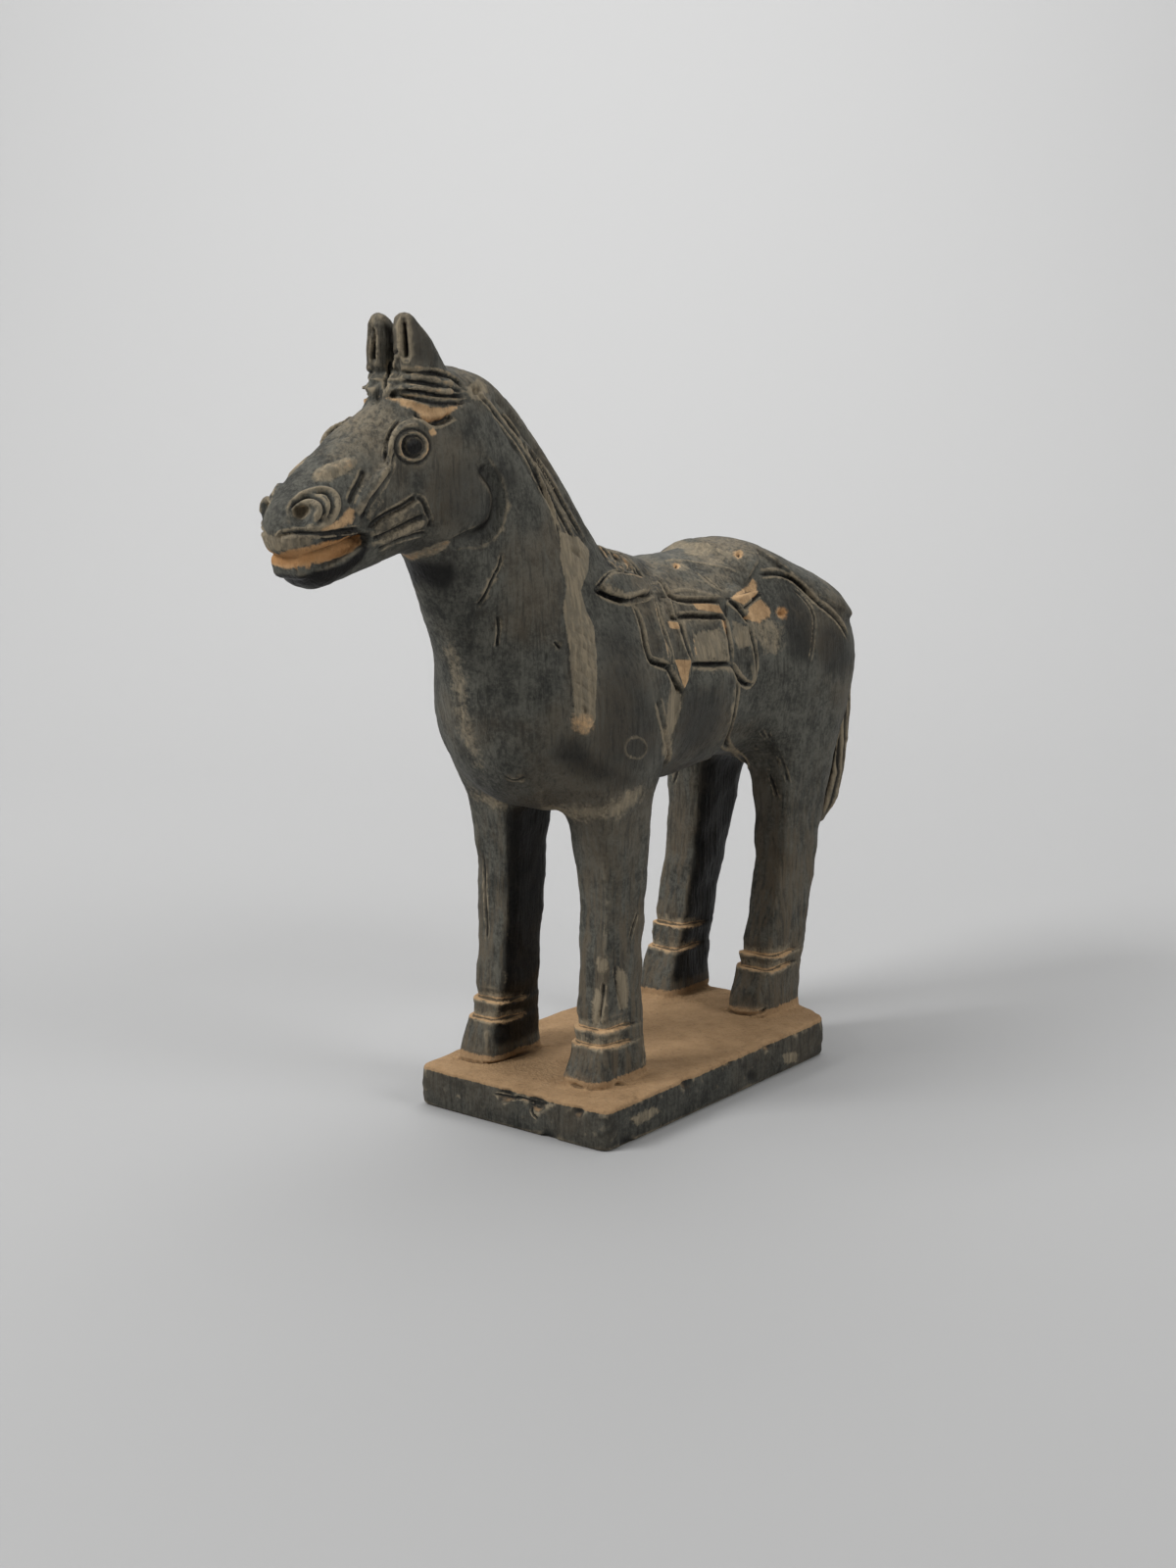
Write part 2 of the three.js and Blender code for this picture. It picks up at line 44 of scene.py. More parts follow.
FOCAL_PIXELS = 2311.0
SENSOR = 36.0
EYE = np.array([-653.6, -482.4, 271.5])
TURN = math.radians(-52.32)
TILT = math.radians(11.17)
MM = 0.001

bpy.ops.object.select_all(action="DESELECT")
bpy.ops.object.camera_add(location=Vector(EYE * MM), rotation=(math.pi / 2 - TILT, 0, TURN))
camera = bpy.context.object
camera.name = "studio_camera"
camera.data.lens = FOCAL_PIXELS / PIXELS_DOWN * SENSOR
camera.data.sensor_width = SENSOR
bpy.context.scene.camera = camera

rightwards = np.array([math.cos(TURN), math.sin(TURN), 0.0])
backwards = np.array([-math.sin(TURN), math.cos(TURN), 0.0])
towards_eye = np.array([0.0, 0.0, math.sin(TILT)]) - math.cos(TILT) * backwards
upwards = np.cross(towards_eye, rightwards)


# The studio: a sweep of pale grey paper that curves up behind the figure, lit by two large soft boxes
# over the camera's shoulders, one overhead, and the room's own pale light.
PAPER_HEX = "acacac"
ROOM_HEX = "f2f2f0"
ROOM_STRENGTH = 0.17
SWEEP_NEAR, SWEEP_FAR, SWEEP_WIDE, SWEEP_HIGH, SWEEP_BEND = 1.6, 1.5, 6.0, 3.2, 0.9


def linear(hex_colour):
    """An sRGB colour such as 4a4b46 as linear red, green, blue and alpha."""
    values = [int(hex_colour[i : i + 2], 16) / 255 for i in (0, 2, 4)]
    return [v / 12.92 if v <= 0.04045 else ((v + 0.055) / 1.055) ** 2.4 for v in values] + [1.0]


def node(tree, kind, inputs=(), output=0, **settings):
    """Adds a shader node, with its settings and its inputs by name or in order, and gives an output."""
    new = tree.nodes.new("ShaderNode" + kind)
    for name, value in settings.items():
        setattr(new, name, value)
    for name, value in inputs.items() if isinstance(inputs, dict) else enumerate(inputs):
        if isinstance(value, bpy.types.NodeSocket):
            tree.links.new(value, new.inputs[name])
        else:
            new.inputs[name].default_value = value
    return new.outputs[output] if new.outputs else None


def new_material(name):
    material = bpy.data.materials.new(name)
    material.use_nodes = True
    material.node_tree.nodes.clear()
    return material


def select_edges(piece, wanted):
    """Selects the edges whose two ends are both wanted, by their place."""
    bpy.ops.object.mode_set(mode="OBJECT")
    places = [v.co for v in piece.data.vertices]
    for edge in piece.data.edges:
        edge.select = all(wanted(places[v]) for v in edge.vertices)
    bpy.ops.object.mode_set(mode="EDIT")
    bpy.ops.mesh.select_mode(type="EDGE")


bpy.ops.object.select_all(action="DESELECT")
bpy.ops.mesh.primitive_plane_add(size=1)
sweep = bpy.context.object
sweep.name = "paper_sweep"
bpy.ops.object.mode_set(mode="EDIT")
bpy.ops.transform.resize(value=(SWEEP_WIDE, SWEEP_NEAR + SWEEP_FAR, 1))
bpy.ops.transform.translate(value=(0, (SWEEP_FAR - SWEEP_NEAR) / 2, 0))
bpy.ops.mesh.select_all(action="DESELECT")
select_edges(sweep, lambda place: place.y > 0)
bpy.ops.mesh.extrude_region_move(TRANSFORM_OT_translate={"value": (0, 0, SWEEP_HIGH)})
bpy.ops.mesh.select_all(action="DESELECT")
select_edges(sweep, lambda place: place.y > 0 and place.z < SWEEP_HIGH / 2)
bpy.ops.mesh.bevel(offset=SWEEP_BEND, segments=16, affect="EDGES")
bpy.ops.mesh.select_all(action="SELECT")
bpy.ops.transform.rotate(value=-TURN, orient_axis="Z", center_override=(0, 0, 0))
bpy.ops.object.mode_set(mode="OBJECT")
bpy.ops.object.shade_smooth()

paper = new_material("matt_grey_paper")
tree = paper.node_tree
surface = node(tree, "BsdfPrincipled", {"Base Color": linear(PAPER_HEX), "Roughness": 0.75})
node(tree, "OutputMaterial", {"Surface": surface})
sweep.data.materials.append(paper)

# Each soft box: name, power in watts, width, its place and the point that it faces, in metres to the
# right of the figure, behind it and up, as the camera sees them
SOFT_BOXES = [
    ("left_soft_box", 22, 0.7, (-1.2, -0.6, 1.2), (0, 0, 0.1)),
    ("right_soft_box", 11, 0.7, (1.3, -0.7, 1.0), (0, 0, 0.1)),
    ("overhead_soft_box", 5, 0.8, (0.0, 0.1, 1.7), (0, 0, 0.1)),
    ("backdrop_soft_box", 25, 1.6, (0.0, 1.0, 1.6), (0.0, 1.7, 0.68)),
]


def in_studio(right, back, up):
    return Vector(rightwards * right + backwards * back) + Vector((0, 0, up))


for name, watts, width, place, target in SOFT_BOXES:
    bpy.ops.object.select_all(action="DESELECT")
    facing = (in_studio(*place) - in_studio(*target)).to_track_quat("Z", "Y").to_euler()
    bpy.ops.object.light_add(type="AREA", location=in_studio(*place), rotation=facing)
    soft_box = bpy.context.object
    soft_box.name = name
    soft_box.data.energy = watts
    soft_box.data.size = width

room = bpy.data.worlds.new("room_light")
bpy.context.scene.world = room
room.use_nodes = True
room.node_tree.nodes["Background"].inputs["Color"].default_value = linear(ROOM_HEX)
room.node_tree.nodes["Background"].inputs["Strength"].default_value = ROOM_STRENGTH
bpy.context.scene.view_settings.view_transform = "Standard"


# The figure: horse, harness and slab are one piece of grey clay, pressed in a mould, trimmed with a knife
# and fired. Its form is a copy of the solid, smoothed and divided finely enough to take the tool marks.
GRAIN = 0.58
MID_PLANE = 4.5
TONGUE_SIZE = (25, 14, 8)
TONGUE_PLACE = (-160, 4.5, 206.5)
TONGUE_TILT = math.radians(-15)
TONGUE_ROUND = 2.5
SAME_PLACE = 0.02
SHARP, CREASE = math.radians(55), 0.8

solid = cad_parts["horse_on_plinth"]
bpy.ops.object.select_all(action="DESELECT")
bpy.ops.mesh.primitive_cube_add(size=1)
tongue = bpy.context.object
bpy.ops.object.mode_set(mode="EDIT")
bpy.ops.transform.resize(value=Vector(TONGUE_SIZE) * MM)
bpy.ops.mesh.bevel(offset=TONGUE_ROUND * MM, segments=3, affect="EDGES")
bpy.ops.mesh.select_all(action="SELECT")
bpy.ops.transform.rotate(value=-TONGUE_TILT, orient_axis="Y", center_override=(0, 0, 0))
bpy.ops.transform.translate(value=Vector(TONGUE_PLACE) * MM)
bpy.ops.object.mode_set(mode="OBJECT")

figure = bpy.data.objects.new("clay_horse_on_slab", solid.data.copy())
bpy.context.scene.collection.objects.link(figure)
figure.data.materials.clear()
bpy.context.view_layer.objects.active = figure
figure.select_set(True)
tongue.select_set(False)
bpy.ops.object.mode_set(mode="EDIT")
bpy.ops.mesh.select_all(action="SELECT")
bpy.ops.mesh.remove_doubles(threshold=SAME_PLACE * MM)
bpy.ops.mesh.select_all(action="DESELECT")
bpy.ops.mesh.select_mode(type="EDGE")
bpy.ops.mesh.edges_select_sharp(sharpness=SHARP)
bpy.ops.transform.edge_crease(value=CREASE)
bpy.ops.object.mode_set(mode="OBJECT")


def finish(kind, **settings):
    """Puts a modifier on the figure and applies it."""
    change = figure.modifiers.new(kind.lower(), kind)
    for name, value in settings.items():
        setattr(change, name, value)
    bpy.ops.object.modifier_apply(modifier=change.name)


finish("SUBSURF", levels=2, render_levels=2)
tongue.select_set(True)
bpy.ops.object.join()
finish("REMESH", mode="VOXEL", voxel_size=GRAIN * MM, use_smooth_shade=True)
finish("SMOOTH", factor=0.5, iterations=round(2.4 / GRAIN**2))

count = len(figure.data.vertices)


def of_points(what):
    """The places or the normals of all points of the figure, one row each."""
    values = np.empty(count * 3)
    figure.data.vertices.foreach_get(what, values)
    return values.reshape(-1, 3)


skin = of_points("co") / MM


def eased_step(value, low, high):
    """A share that runs softly from 0 at low to 1 at high."""
    share = np.clip((value - low) / (high - low), 0, 1)
    return share * share * (3 - 2 * share)


# The four posts of the legs were cut square with a knife. A row is the height, the middle of the leg from
# front to back and from the mid-plane outwards, and half its depth and width.
FORELEG = [
    (15, -44.6, 24.2, 16.3, 10.0),
    (24, -43.5, 24.2, 14.5, 9.0),
    (37, -41, 23.5, 12.0, 8.0),
    (60, -40, 23, 11.5, 8.0),
    (87, -38, 23, 12.5, 8.8),
    (113, -40, 22, 15.0, 11.5),
    (143, -45, 19, 21.0, 15.0),
]
HINDLEG = [
    (15, 61.0, 21.5, 15.6, 9.9),
    (24, 62.5, 21.5, 14.0, 9.4),
    (35, 65.5, 21.5, 12.4, 9.0),
    (55, 71, 21.5, 12.0, 8.8),
    (75, 76, 21, 13.0, 9.0),
    (95, 79, 20.5, 15.0, 10.0),
    (115, 81, 20, 19.0, 12.0),
    (145, 83, 18, 30.0, 15.0),
]
FORELEG_TOP, HINDLEG_TOP = 112, 104
SLAB_TOP = 15.0

# Eight planes run down each post: four faces and four cut corners, at these shares of its half width. The
# knife set in anew every 19 mm, not quite where it was before. The power makes the arrises crisp, and the
# planes take over this much of the moulded form.
PLANES = 8
FACE, CORNER, UNEVEN = 0.97, 1.2, 0.022
KNIFE_STROKE = 19.0
CRISP = 14
TAKEN = 0.9
knife = np.random.default_rng(7)
for leg, top in [(FORELEG, FORELEG_TOP), (HINDLEG, HINDLEG_TOP)]:
    for flank in (-1, 1):
        heights, *rest = np.array(leg).T
        middle_x, middle_y, depth, width = (np.interp(skin[:, 2], heights, column) for column in rest)
        u = (skin[:, 0] - middle_x) / depth
        v = (flank * (skin[:, 1] - MID_PLANE) - middle_y) / width
        post = (np.hypot(u, v) < 1.75) & (skin[:, 2] > SLAB_TOP + 0.3) & (skin[:, 2] < top + 14)
        mine = np.flatnonzero(post)
        u, v = u[mine], v[mine]
        weight = TAKEN * eased_step(skin[mine, 2], SLAB_TOP + 0.3, SLAB_TOP + 1.2)
        weight *= eased_step(-skin[mine, 2], -top - 12, -top + 12)
        reach = np.zeros(len(mine))
        for plane in range(PLANES):
            angle = plane * 2 * math.pi / PLANES
            flat = FACE if plane % 2 == 0 else CORNER
            strokes = flat + knife.normal(0, UNEVEN, 12)
            at = (skin[mine, 2] + knife.uniform(0, KNIFE_STROKE)) / KNIFE_STROKE
            whole = np.floor(at).astype(int)
            step = eased_step(at - whole, 0.75, 1.0)
            far = strokes[whole] * (1 - step) + strokes[whole + 1] * step
            reach += np.maximum((u * math.cos(angle) + v * math.sin(angle)) / far, 0) ** CRISP
        shrink = 1 + (1 / np.maximum(reach ** (1 / CRISP), 0.3) - 1) * weight
        skin[mine, 0] = middle_x[mine] + u * shrink * depth[mine]
        skin[mine, 1] = MID_PLANE + flank * (middle_y[mine] + v * shrink * width[mine])
figure.data.vertices.foreach_set("co", (skin * MM).ravel())
figure.data.update()
outward = of_points("normal")

# Both flanks are worked alike, so most marks are placed on the left one and repeated on the right.
left = skin.copy()
left[:, 1] = MID_PLANE - np.abs(skin[:, 1] - MID_PLANE)
left_outward = outward.copy()
left_outward[:, 1] *= np.where(skin[:, 1] > MID_PLANE, -1, 1)

# How deep each point is cut and how far it is raised, in mm, and how much ochre dust, how much of a thin
# tan film and how much soot and painted shade it carries, from 0 to 1
cut, rise, dust, film, soot_and_shade = (np.zeros(count) for _ in range(5))
bpy.context.view_layer.update()


def seen(points):
    """The pixels at which the camera sees points, and how far off they are."""
    offset = points - EYE
    depth = -(offset @ towards_eye)
    across = PHOTO_MIDDLE[0] + FOCAL_PIXELS * (offset @ rightwards) / depth
    down = PHOTO_MIDDLE[1] - FOCAL_PIXELS * (offset @ upwards) / depth
    return np.stack([across, down], -1), depth


pixel, pixel_depth = seen(left)
facing = left_outward @ towards_eye


def on_skin(pixels, both=True):
    """The points of the skin that the camera sees at some pixels, or the nearest ones."""
    sights = []
    for across, down in pixels:
        sight = rightwards * (across - PHOTO_MIDDLE[0]) / FOCAL_PIXELS - towards_eye
        sights.append(Vector(sight - upwards * (down - PHOTO_MIDDLE[1]) / FOCAL_PIXELS).normalized())
    met = [figure.ray_cast(Vector(EYE * MM), sight) for sight in sights]
    reached = [i for i, hit in enumerate(met) if hit[0]]
    points = []
    for i, sight in enumerate(sights):
        nearest = min(reached, key=lambda other: abs(other - i), default=None)
        place = met[nearest][1] if reached else Vector((0, 0, 0))
        if nearest != i:
            past = Vector(EYE * MM) + sight * (place - Vector(EYE * MM)).length
            place = figure.closest_point_on_mesh(past)[1]
        points.append(np.array(place) / MM)
    points = np.array(points)
    if both:
        points[:, 1] = MID_PLANE - np.abs(points[:, 1] - MID_PLANE)
    return points


def eased(points, rounds=2):
    """A line through points with its corners cut off, which makes it run like a stroke of the hand."""
    for _ in range(rounds):
        first = points[:-1] * 0.75 + points[1:] * 0.25
        second = points[:-1] * 0.25 + points[1:] * 0.75
        between = np.stack([first, second], 1).reshape(-1, points.shape[1])
        points = np.concatenate([points[:1], between, points[-1:]])
    return points


def beside(pixels, reach, both=True):
    """The points within reach of a line drawn on the photo: which, how far off, and the share along it."""
    line = on_skin(pixels, both)
    line = eased(line) if len(pixels) > 2 else line
    here = left if both else skin
    near = np.flatnonzero(((here > line.min(0) - reach) & (here < line.max(0) + reach)).all(1))
    off = np.full(len(near), np.inf)
    share = np.zeros(len(near))
    length = np.concatenate([[0], np.cumsum(np.linalg.norm(np.diff(line, axis=0), axis=1))])
    for start, end, before, after in zip(line[:-1], line[1:], length[:-1], length[1:]):
        span = end - start
        along = np.clip((here[near] - start) @ span / max(span @ span, 1e-9), 0, 1)
        gap = np.linalg.norm(here[near] - start - along[:, None] * span, axis=1)
        closer = gap < off
        off[closer] = gap[closer]
        share[closer] = ((before + along * (after - before)) / length[-1])[closer]
    kept = off < reach
    return near[kept], off[kept], share[kept]


def groove(pixels, wide, deep, lip=0.15, dusty=0.0, dark=0.7, both=True):
    """Presses a line with the edge of a wooden tool: half as wide as told each way, with a raised burr."""
    half = wide / 2
    near, off, share = beside(pixels, 2.5 * half, both)
    fade = np.clip(np.minimum(share, 1 - share) / 0.1 + 0.25, 0, 1)
    press = np.clip(1 - (off / (1.15 * half)) ** 2, 0, 1) ** 1.5 * fade
    burr = np.exp(-(((off - 1.55 * half) / (0.45 * half)) ** 2)) * fade
    cut[near] = np.maximum(cut[near], deep * press)
    rise[near] = np.maximum(rise[near], lip * burr)
    dust[near] = np.maximum(dust[near], dusty * np.maximum(press, burr))
    film[near] = np.maximum(film[near], min(1, 2.7 * lip) * burr)
    # Painted shade: the groove's bottom is darkened as much as dark tells.
    soot_and_shade[near] = np.maximum(soot_and_shade[near], dark * press)


def ridge(pixels, wide, high, dusty=0.0, tan=0.6, both=True):
    """Lays a line of clay, rounded and blended at its foot, whose crest is rubbed pale."""
    half = wide / 2
    near, off, share = beside(pixels, 1.3 * half, both)
    fade = np.clip(np.minimum(share, 1 - share) / 0.15 + 0.3, 0, 1)
    swell = np.clip(1 - (off / (1.3 * half)) ** 2, 0, 1) ** 1.5 * fade
    rise[near] = np.maximum(rise[near], high * swell)
    film[near] = np.maximum(film[near], tan * swell)
    dust[near] = np.maximum(dust[near], dusty * swell)


def inside(outline, both=True, soft=25):
    """How far inside an outline drawn on the photo each point lies, in mm, and far below 0 elsewhere."""
    corners = np.array(outline, float)
    depth = np.median(seen(on_skin(outline))[1])
    here, away, front = (pixel, pixel_depth, facing) if both else (*seen(skin), outward @ towards_eye)
    margin = 20
    near = (here > corners.min(0) - margin).all(1) & (here < corners.max(0) + margin).all(1)
    near = np.flatnonzero(near & (np.abs(away - depth) < soft) & (front > 0))
    off = np.full(len(near), np.inf)
    within = np.zeros(len(near), bool)
    for start, end in zip(corners, np.roll(corners, -1, 0)):
        span = end - start
        along = np.clip((here[near] - start) @ span / (span @ span), 0, 1)
        off = np.minimum(off, np.linalg.norm(here[near] - start - along[:, None] * span, axis=1))
        crossing = (start[1] > here[near, 1]) != (end[1] > here[near, 1])
        with np.errstate(divide="ignore", invalid="ignore"):
            at = start[0] + (here[near, 1] - start[1]) / span[1] * span[0]
        within ^= crossing & (here[near, 0] < at)
    result = np.full(count, -99.0)
    result[near] = np.where(within, off, -off) * away[near] / FOCAL_PIXELS
    return result


def slip(outline, high, edge=0.6, both=True):
    """Lays a thin flat piece of clay on the skin within an outline, with a crisp edge."""
    held = eased_step(inside(outline, both), -edge / 2, edge / 2)
    rise[:] = np.maximum(rise, high * held)


def mark(layer, outline, amount, soft=1.5, both=True):
    """Colours the skin within an outline."""
    held = eased_step(inside(outline, both), -soft / 2, soft / 2)
    layer[:] = np.maximum(layer, amount * held)


def around(centre, both=True, soft=15):
    """How far each point looks from a spot of the photo, in mm at its depth; far when it faces away."""
    away = seen(on_skin([centre]))[1][0]
    here, depth, front = (pixel, pixel_depth, facing) if both else (*seen(skin), outward @ towards_eye)
    off = np.linalg.norm(here - np.array(centre), axis=1) * away / FOCAL_PIXELS
    return np.where((np.abs(depth - away) < soft) & (front > 0), off, 99.0)


def spot(layer, centre, radius, amount, both=True):
    """Colours, cuts or raises a round spot that fades outwards. Its radius is in mm."""
    off = around(centre, both) / radius
    layer[:] = np.maximum(layer, amount * np.clip(1 - off**2, 0, 1))


# The head: pressed muzzle with curled nostrils and an open mouth, a ringed eye under a heavy lid, and the
# cheek's crest and tendons cut with the tool's edge.
EYE_MIDDLE = (421.5, 455.5)
BALL, RING, RING_WIDE, SOCKET = 3.0, 4.2, 1.0, 5.3
BALL_HIGH, RING_HIGH, SOCKET_DEEP, FAR_EYE = 0.9, 0.5, 0.7, 0.5
LID = [(398, 474), (398.5, 457), (403, 441), (411, 432.5), (425, 429.5), (436, 435), (444, 442)]
LID_FOLD = [(393, 472), (394, 457), (399, 439), (408, 428.5)]
BROW_EDGE = [(422, 421), (430, 428), (440, 431), (451, 430), (461, 423)]
TEAR_LINES = [[(401, 456), (397, 466), (395, 477)], [(404, 462), (400, 472), (399, 482)]]
BROW_HOLLOW = [
    (390, 404), (404, 407), (424, 410.5), (441, 416), (457, 416), (471, 411), (463, 419), (450, 428),
    (436, 429), (424, 419), (407, 411),
]
UPPER_LIP = [(270, 549), (283, 546.5), (302, 543), (326, 544), (353, 542), (367, 540)]
MOUTH = [
    (284, 566), (290, 562), (326, 555), (367, 545), (369, 553), (362, 561), (346, 569), (326, 575),
    (291, 580), (283, 577),
]
LOWER_LIP = [
    (287, 583), (300, 588), (325, 582), (350, 575), (366, 563), (373, 550), (377, 560), (368, 574),
    (350, 590), (325, 601), (305, 600),
]
LIP_BAND = [(274, 545), (300, 544), (321, 548), (318, 556), (300, 562), (284, 563), (272, 556)]
LIP_CORNER = [(322, 545), (345, 543), (367, 540), (372, 546), (352, 550), (330, 554)]
NOSTRIL_MIDDLE = (307, 521)
NOSTRIL_CURLS = [
    [(296, 521), (301, 512), (312, 507), (324, 508), (331, 515), (331, 527), (323, 536)],
    [(321, 502), (334, 503), (339, 512), (338, 523), (331, 534)],
]
NOSTRIL_RIMS = [
    [(298, 512), (309, 504), (320, 500), (336, 499), (344, 508), (344, 519), (338, 530), (326, 538),
     (313, 538)],
    [(302, 518), (312, 512), (322, 514), (326, 521), (322, 529)],
]
UNDER_NOSTRIL = [(326, 538), (344, 532), (356, 517), (361, 521), (361, 534), (346, 541), (326, 541)]
NOSE_LIGHT = [
    (316, 489), (321, 481), (334, 473), (352, 468), (364, 470), (360, 479), (345, 487), (325, 492),
]
CHEEK_CUTS = [
    ([(372, 479), (367, 492), (360, 502), (356, 514)], 2.0, 1.2),
    ([(400, 480), (389, 499), (376, 515), (370, 529)], 2.2, 1.4),
    ([(377, 538), (392, 526), (411, 517), (425, 507)], 2.0, 1.5),
    ([(425, 507), (433, 512), (437, 524), (438, 538)], 1.8, 1.0),
    ([(381, 550), (404, 540), (423, 530), (433, 527)], 1.8, 1.2),
    ([(386, 560), (404, 551), (424, 546), (436, 545)], 1.8, 0.8),
]
CHEEK_CREST = [(402, 477), (388, 485), (375, 500), (366, 515), (361, 528)]
CHEEK_TENDONS = [
    [(391, 508), (381, 520), (374, 532)],
    [(382, 544), (405, 531), (430, 519)],
    [(384, 555), (405, 545), (434, 535)],
]
JOWL_EDGE = [(491, 474), (505, 490), (511, 512), (506, 535), (492, 547), (474, 550), (458, 556)]
JOWL_SHADE = [
    (487, 474), (497, 480), (508, 496), (511, 514), (508, 532), (499, 544), (482, 550), (488, 535),
    (497, 520), (497, 500),
]
CHEEK_SHADE = [(440, 474), (478, 468), (498, 490), (500, 528), (470, 546), (442, 530), (432, 500)]
NECK_SHADE = [(500, 474), (522, 476), (532, 488), (526, 503), (511, 500)]
THROAT_SHADE = [
    (416, 568), (430, 571), (448, 573), (464, 571), (467, 590), (456, 604), (440, 600), (424, 591),
]
THROAT_DUST = [(407, 566), (430, 560), (456, 551), (462, 556), (445, 566), (420, 572)]

off = around(EYE_MIDDLE)
ball = np.sqrt(np.clip(1 - (off / (BALL + 0.2)) ** 2, 0, 1))
ring = np.clip(1 - ((off - RING) / (RING_WIDE / 2)) ** 2, 0, 1) ** 0.7
socket = np.exp(-(((off - SOCKET) / 0.6) ** 2)) + np.exp(-(((off - BALL - 0.25) / 0.3) ** 2))
bulge = (BALL_HIGH * ball + RING_HIGH * ring) * np.where(skin[:, 1] > MID_PLANE, FAR_EYE, 1)
rise[:] = np.maximum(rise, bulge)
cut[:] = np.maximum(cut, SOCKET_DEEP * np.clip(socket, 0, 1))
# The eyeball is dark, and the socket round it is painted dark as shade.
soot_and_shade[:] = np.maximum(soot_and_shade, np.clip(1.3 * ball + 0.9 * socket, 0, 1))
film[:] = np.maximum(film, ring)
dust[:] = np.maximum(dust, 0.42 * ring)

groove(BROW_EDGE, 2.4, 1.7, lip=0.3, dark=1.0)
ridge(LID, 1.5, 0.9, tan=0.8)
groove(LID_FOLD, 1.4, 0.9, lip=0.2)
for line in TEAR_LINES:
    groove(line, 1.1, 0.7, lip=0.2)
spot(dust, (441, 441), 1.6, 1.0)
mark(dust, BROW_HOLLOW, 1.0, soft=2.5)
mark(film, BROW_HOLLOW, 1.0, soft=6)

# Painted shadow: the groove under the upper lip and the lip's corner are painted black.
groove(UPPER_LIP, 1.6, 1.2, lip=0.3, dark=1.0)
mark(dust, MOUTH, 1.0, soft=1.0)
mark(soot_and_shade, MOUTH, 0.6, soft=1.0)
mark(soot_and_shade, LOWER_LIP, 1.0, soft=1.2)
mark(film, LIP_BAND, 0.8, soft=1.5)
mark(soot_and_shade, LIP_CORNER, 1.0, soft=1.2)
spot(cut, NOSTRIL_MIDDLE, 2.6, 1.8)
spot(film, NOSTRIL_MIDDLE, 3.4, 1.4)
spot(dust, NOSTRIL_MIDDLE, 2.6, 0.6)
for line in NOSTRIL_CURLS:
    groove(line, 1.7, 1.2, lip=0.2, dark=0.9)
for line in NOSTRIL_RIMS:
    ridge(line, 2.4, 1.1, tan=0.6)
mark(dust, UNDER_NOSTRIL, 0.75, soft=2.0)
mark(film, NOSE_LIGHT, 1.0, soft=1.5)
mark(dust, NOSE_LIGHT, 0.36, soft=3.0)
ridge([(322, 486), (340, 479), (360, 471)], 4.0, 0.7, tan=0.5)
for line, wide, deep in CHEEK_CUTS:
    groove(line, wide, deep, lip=0.25, dark=0.85)
ridge(CHEEK_CREST, 4.0, 1.2, tan=0.3)
for line in CHEEK_TENDONS:
    ridge(line, 3.4, 0.8, tan=0.5)
groove(JOWL_EDGE, 6.5, 2.6, lip=0.0, dark=0.6)
mark(soot_and_shade, JOWL_SHADE, 0.9, soft=4.0)
mark(soot_and_shade, CHEEK_SHADE, 0.48, soft=10.0)
mark(soot_and_shade, NECK_SHADE, 0.65, soft=7.0)
mark(soot_and_shade, THROAT_SHADE, 0.95, soft=5.0)
mark(film, THROAT_DUST, 0.9, soft=2.0)
mark(dust, THROAT_DUST, 0.45, soft=3.0)


# Ears and forelock: leaf-shaped ears pinched from the clay, each slit down its front, over a parted
# forelock whose two tufts are combed back level with a pointed tool.
EAR_SLIT = [(412, 327), (413, 345), (414.5, 366)]
FAR_EAR_SLIT = [(379.5, 334), (380, 350), (380.5, 368)]
EAR_RIM = [(406, 330), (405.5, 345), (407, 362)]
EAR_SHADE = [(417, 322), (425, 320), (446, 345), (457, 371), (430, 371), (418, 366)]
EARS_BETWEEN = [(391, 330), (402, 336), (404, 358), (400, 362), (395, 345)]
PARTING = [(405.5, 358), (400.5, 369), (397, 381), (393.5, 392), (391.5, 399)]
PARTING_RIM = [(407, 361), (403, 372), (401, 382), (397.5, 394), (395, 400)]
TUFT = [
    (410, 373), (432, 374), (447, 376), (466, 385), (479, 398), (484, 408), (470, 409), (456, 416),
    (436, 414), (405, 408), (408, 390),
]
TUFT_RIDGES = [
    [(420, 373.5), (432, 375), (445, 376), (457, 381), (466, 387), (474, 395)],
    [(407, 381.5), (421, 382.5), (433, 386), (445, 387), (457, 392.5), (469, 396), (476, 401)],
    [(412, 391.5), (425, 394.5), (436, 398), (448, 399.5), (460, 400), (474, 403)],
    [(407, 402), (421, 402.5), (435, 405.5), (451, 407.5), (464, 407.5), (476, 406)],
]
TUFT_CUTS = [
    [(413, 378.5), (435, 380), (451, 383), (463, 388), (472, 395)],
    [(410, 387), (428, 390), (445, 393.5), (460, 396), (471, 399)],
    [(410, 397), (428, 400), (448, 403.5), (463, 404), (474, 404)],
    [(408, 405.5), (428, 408), (445, 412), (457, 412.5), (474, 409)],
]
groove(EAR_SLIT, 2.7, 3.6, lip=0.0, dark=1.0)
groove(FAR_EAR_SLIT, 1.9, 2.4, lip=0.0, dark=1.0, both=False)
ridge(EAR_RIM, 1.2, 0.3, tan=0.7)
# The ear's face beside its slit and the gap between the ears are painted dark, as shade.
mark(soot_and_shade, EAR_SHADE, 0.55, soft=3)
mark(soot_and_shade, EARS_BETWEEN, 0.9, soft=2, both=False)
slip(TUFT, 0.6, edge=1.5)
groove(PARTING, 1.7, 1.8, lip=0.0, dark=1.0, both=False)
ridge(PARTING_RIM, 1.3, 0.7, dusty=0.3, tan=1.0, both=False)
for line in TUFT_CUTS:
    groove(line, 2.2, 1.3, lip=0.0, dark=1.0)
for line in TUFT_RIDGES:
    ridge(line, 1.3, 0.5, dusty=0.42, tan=1.0)


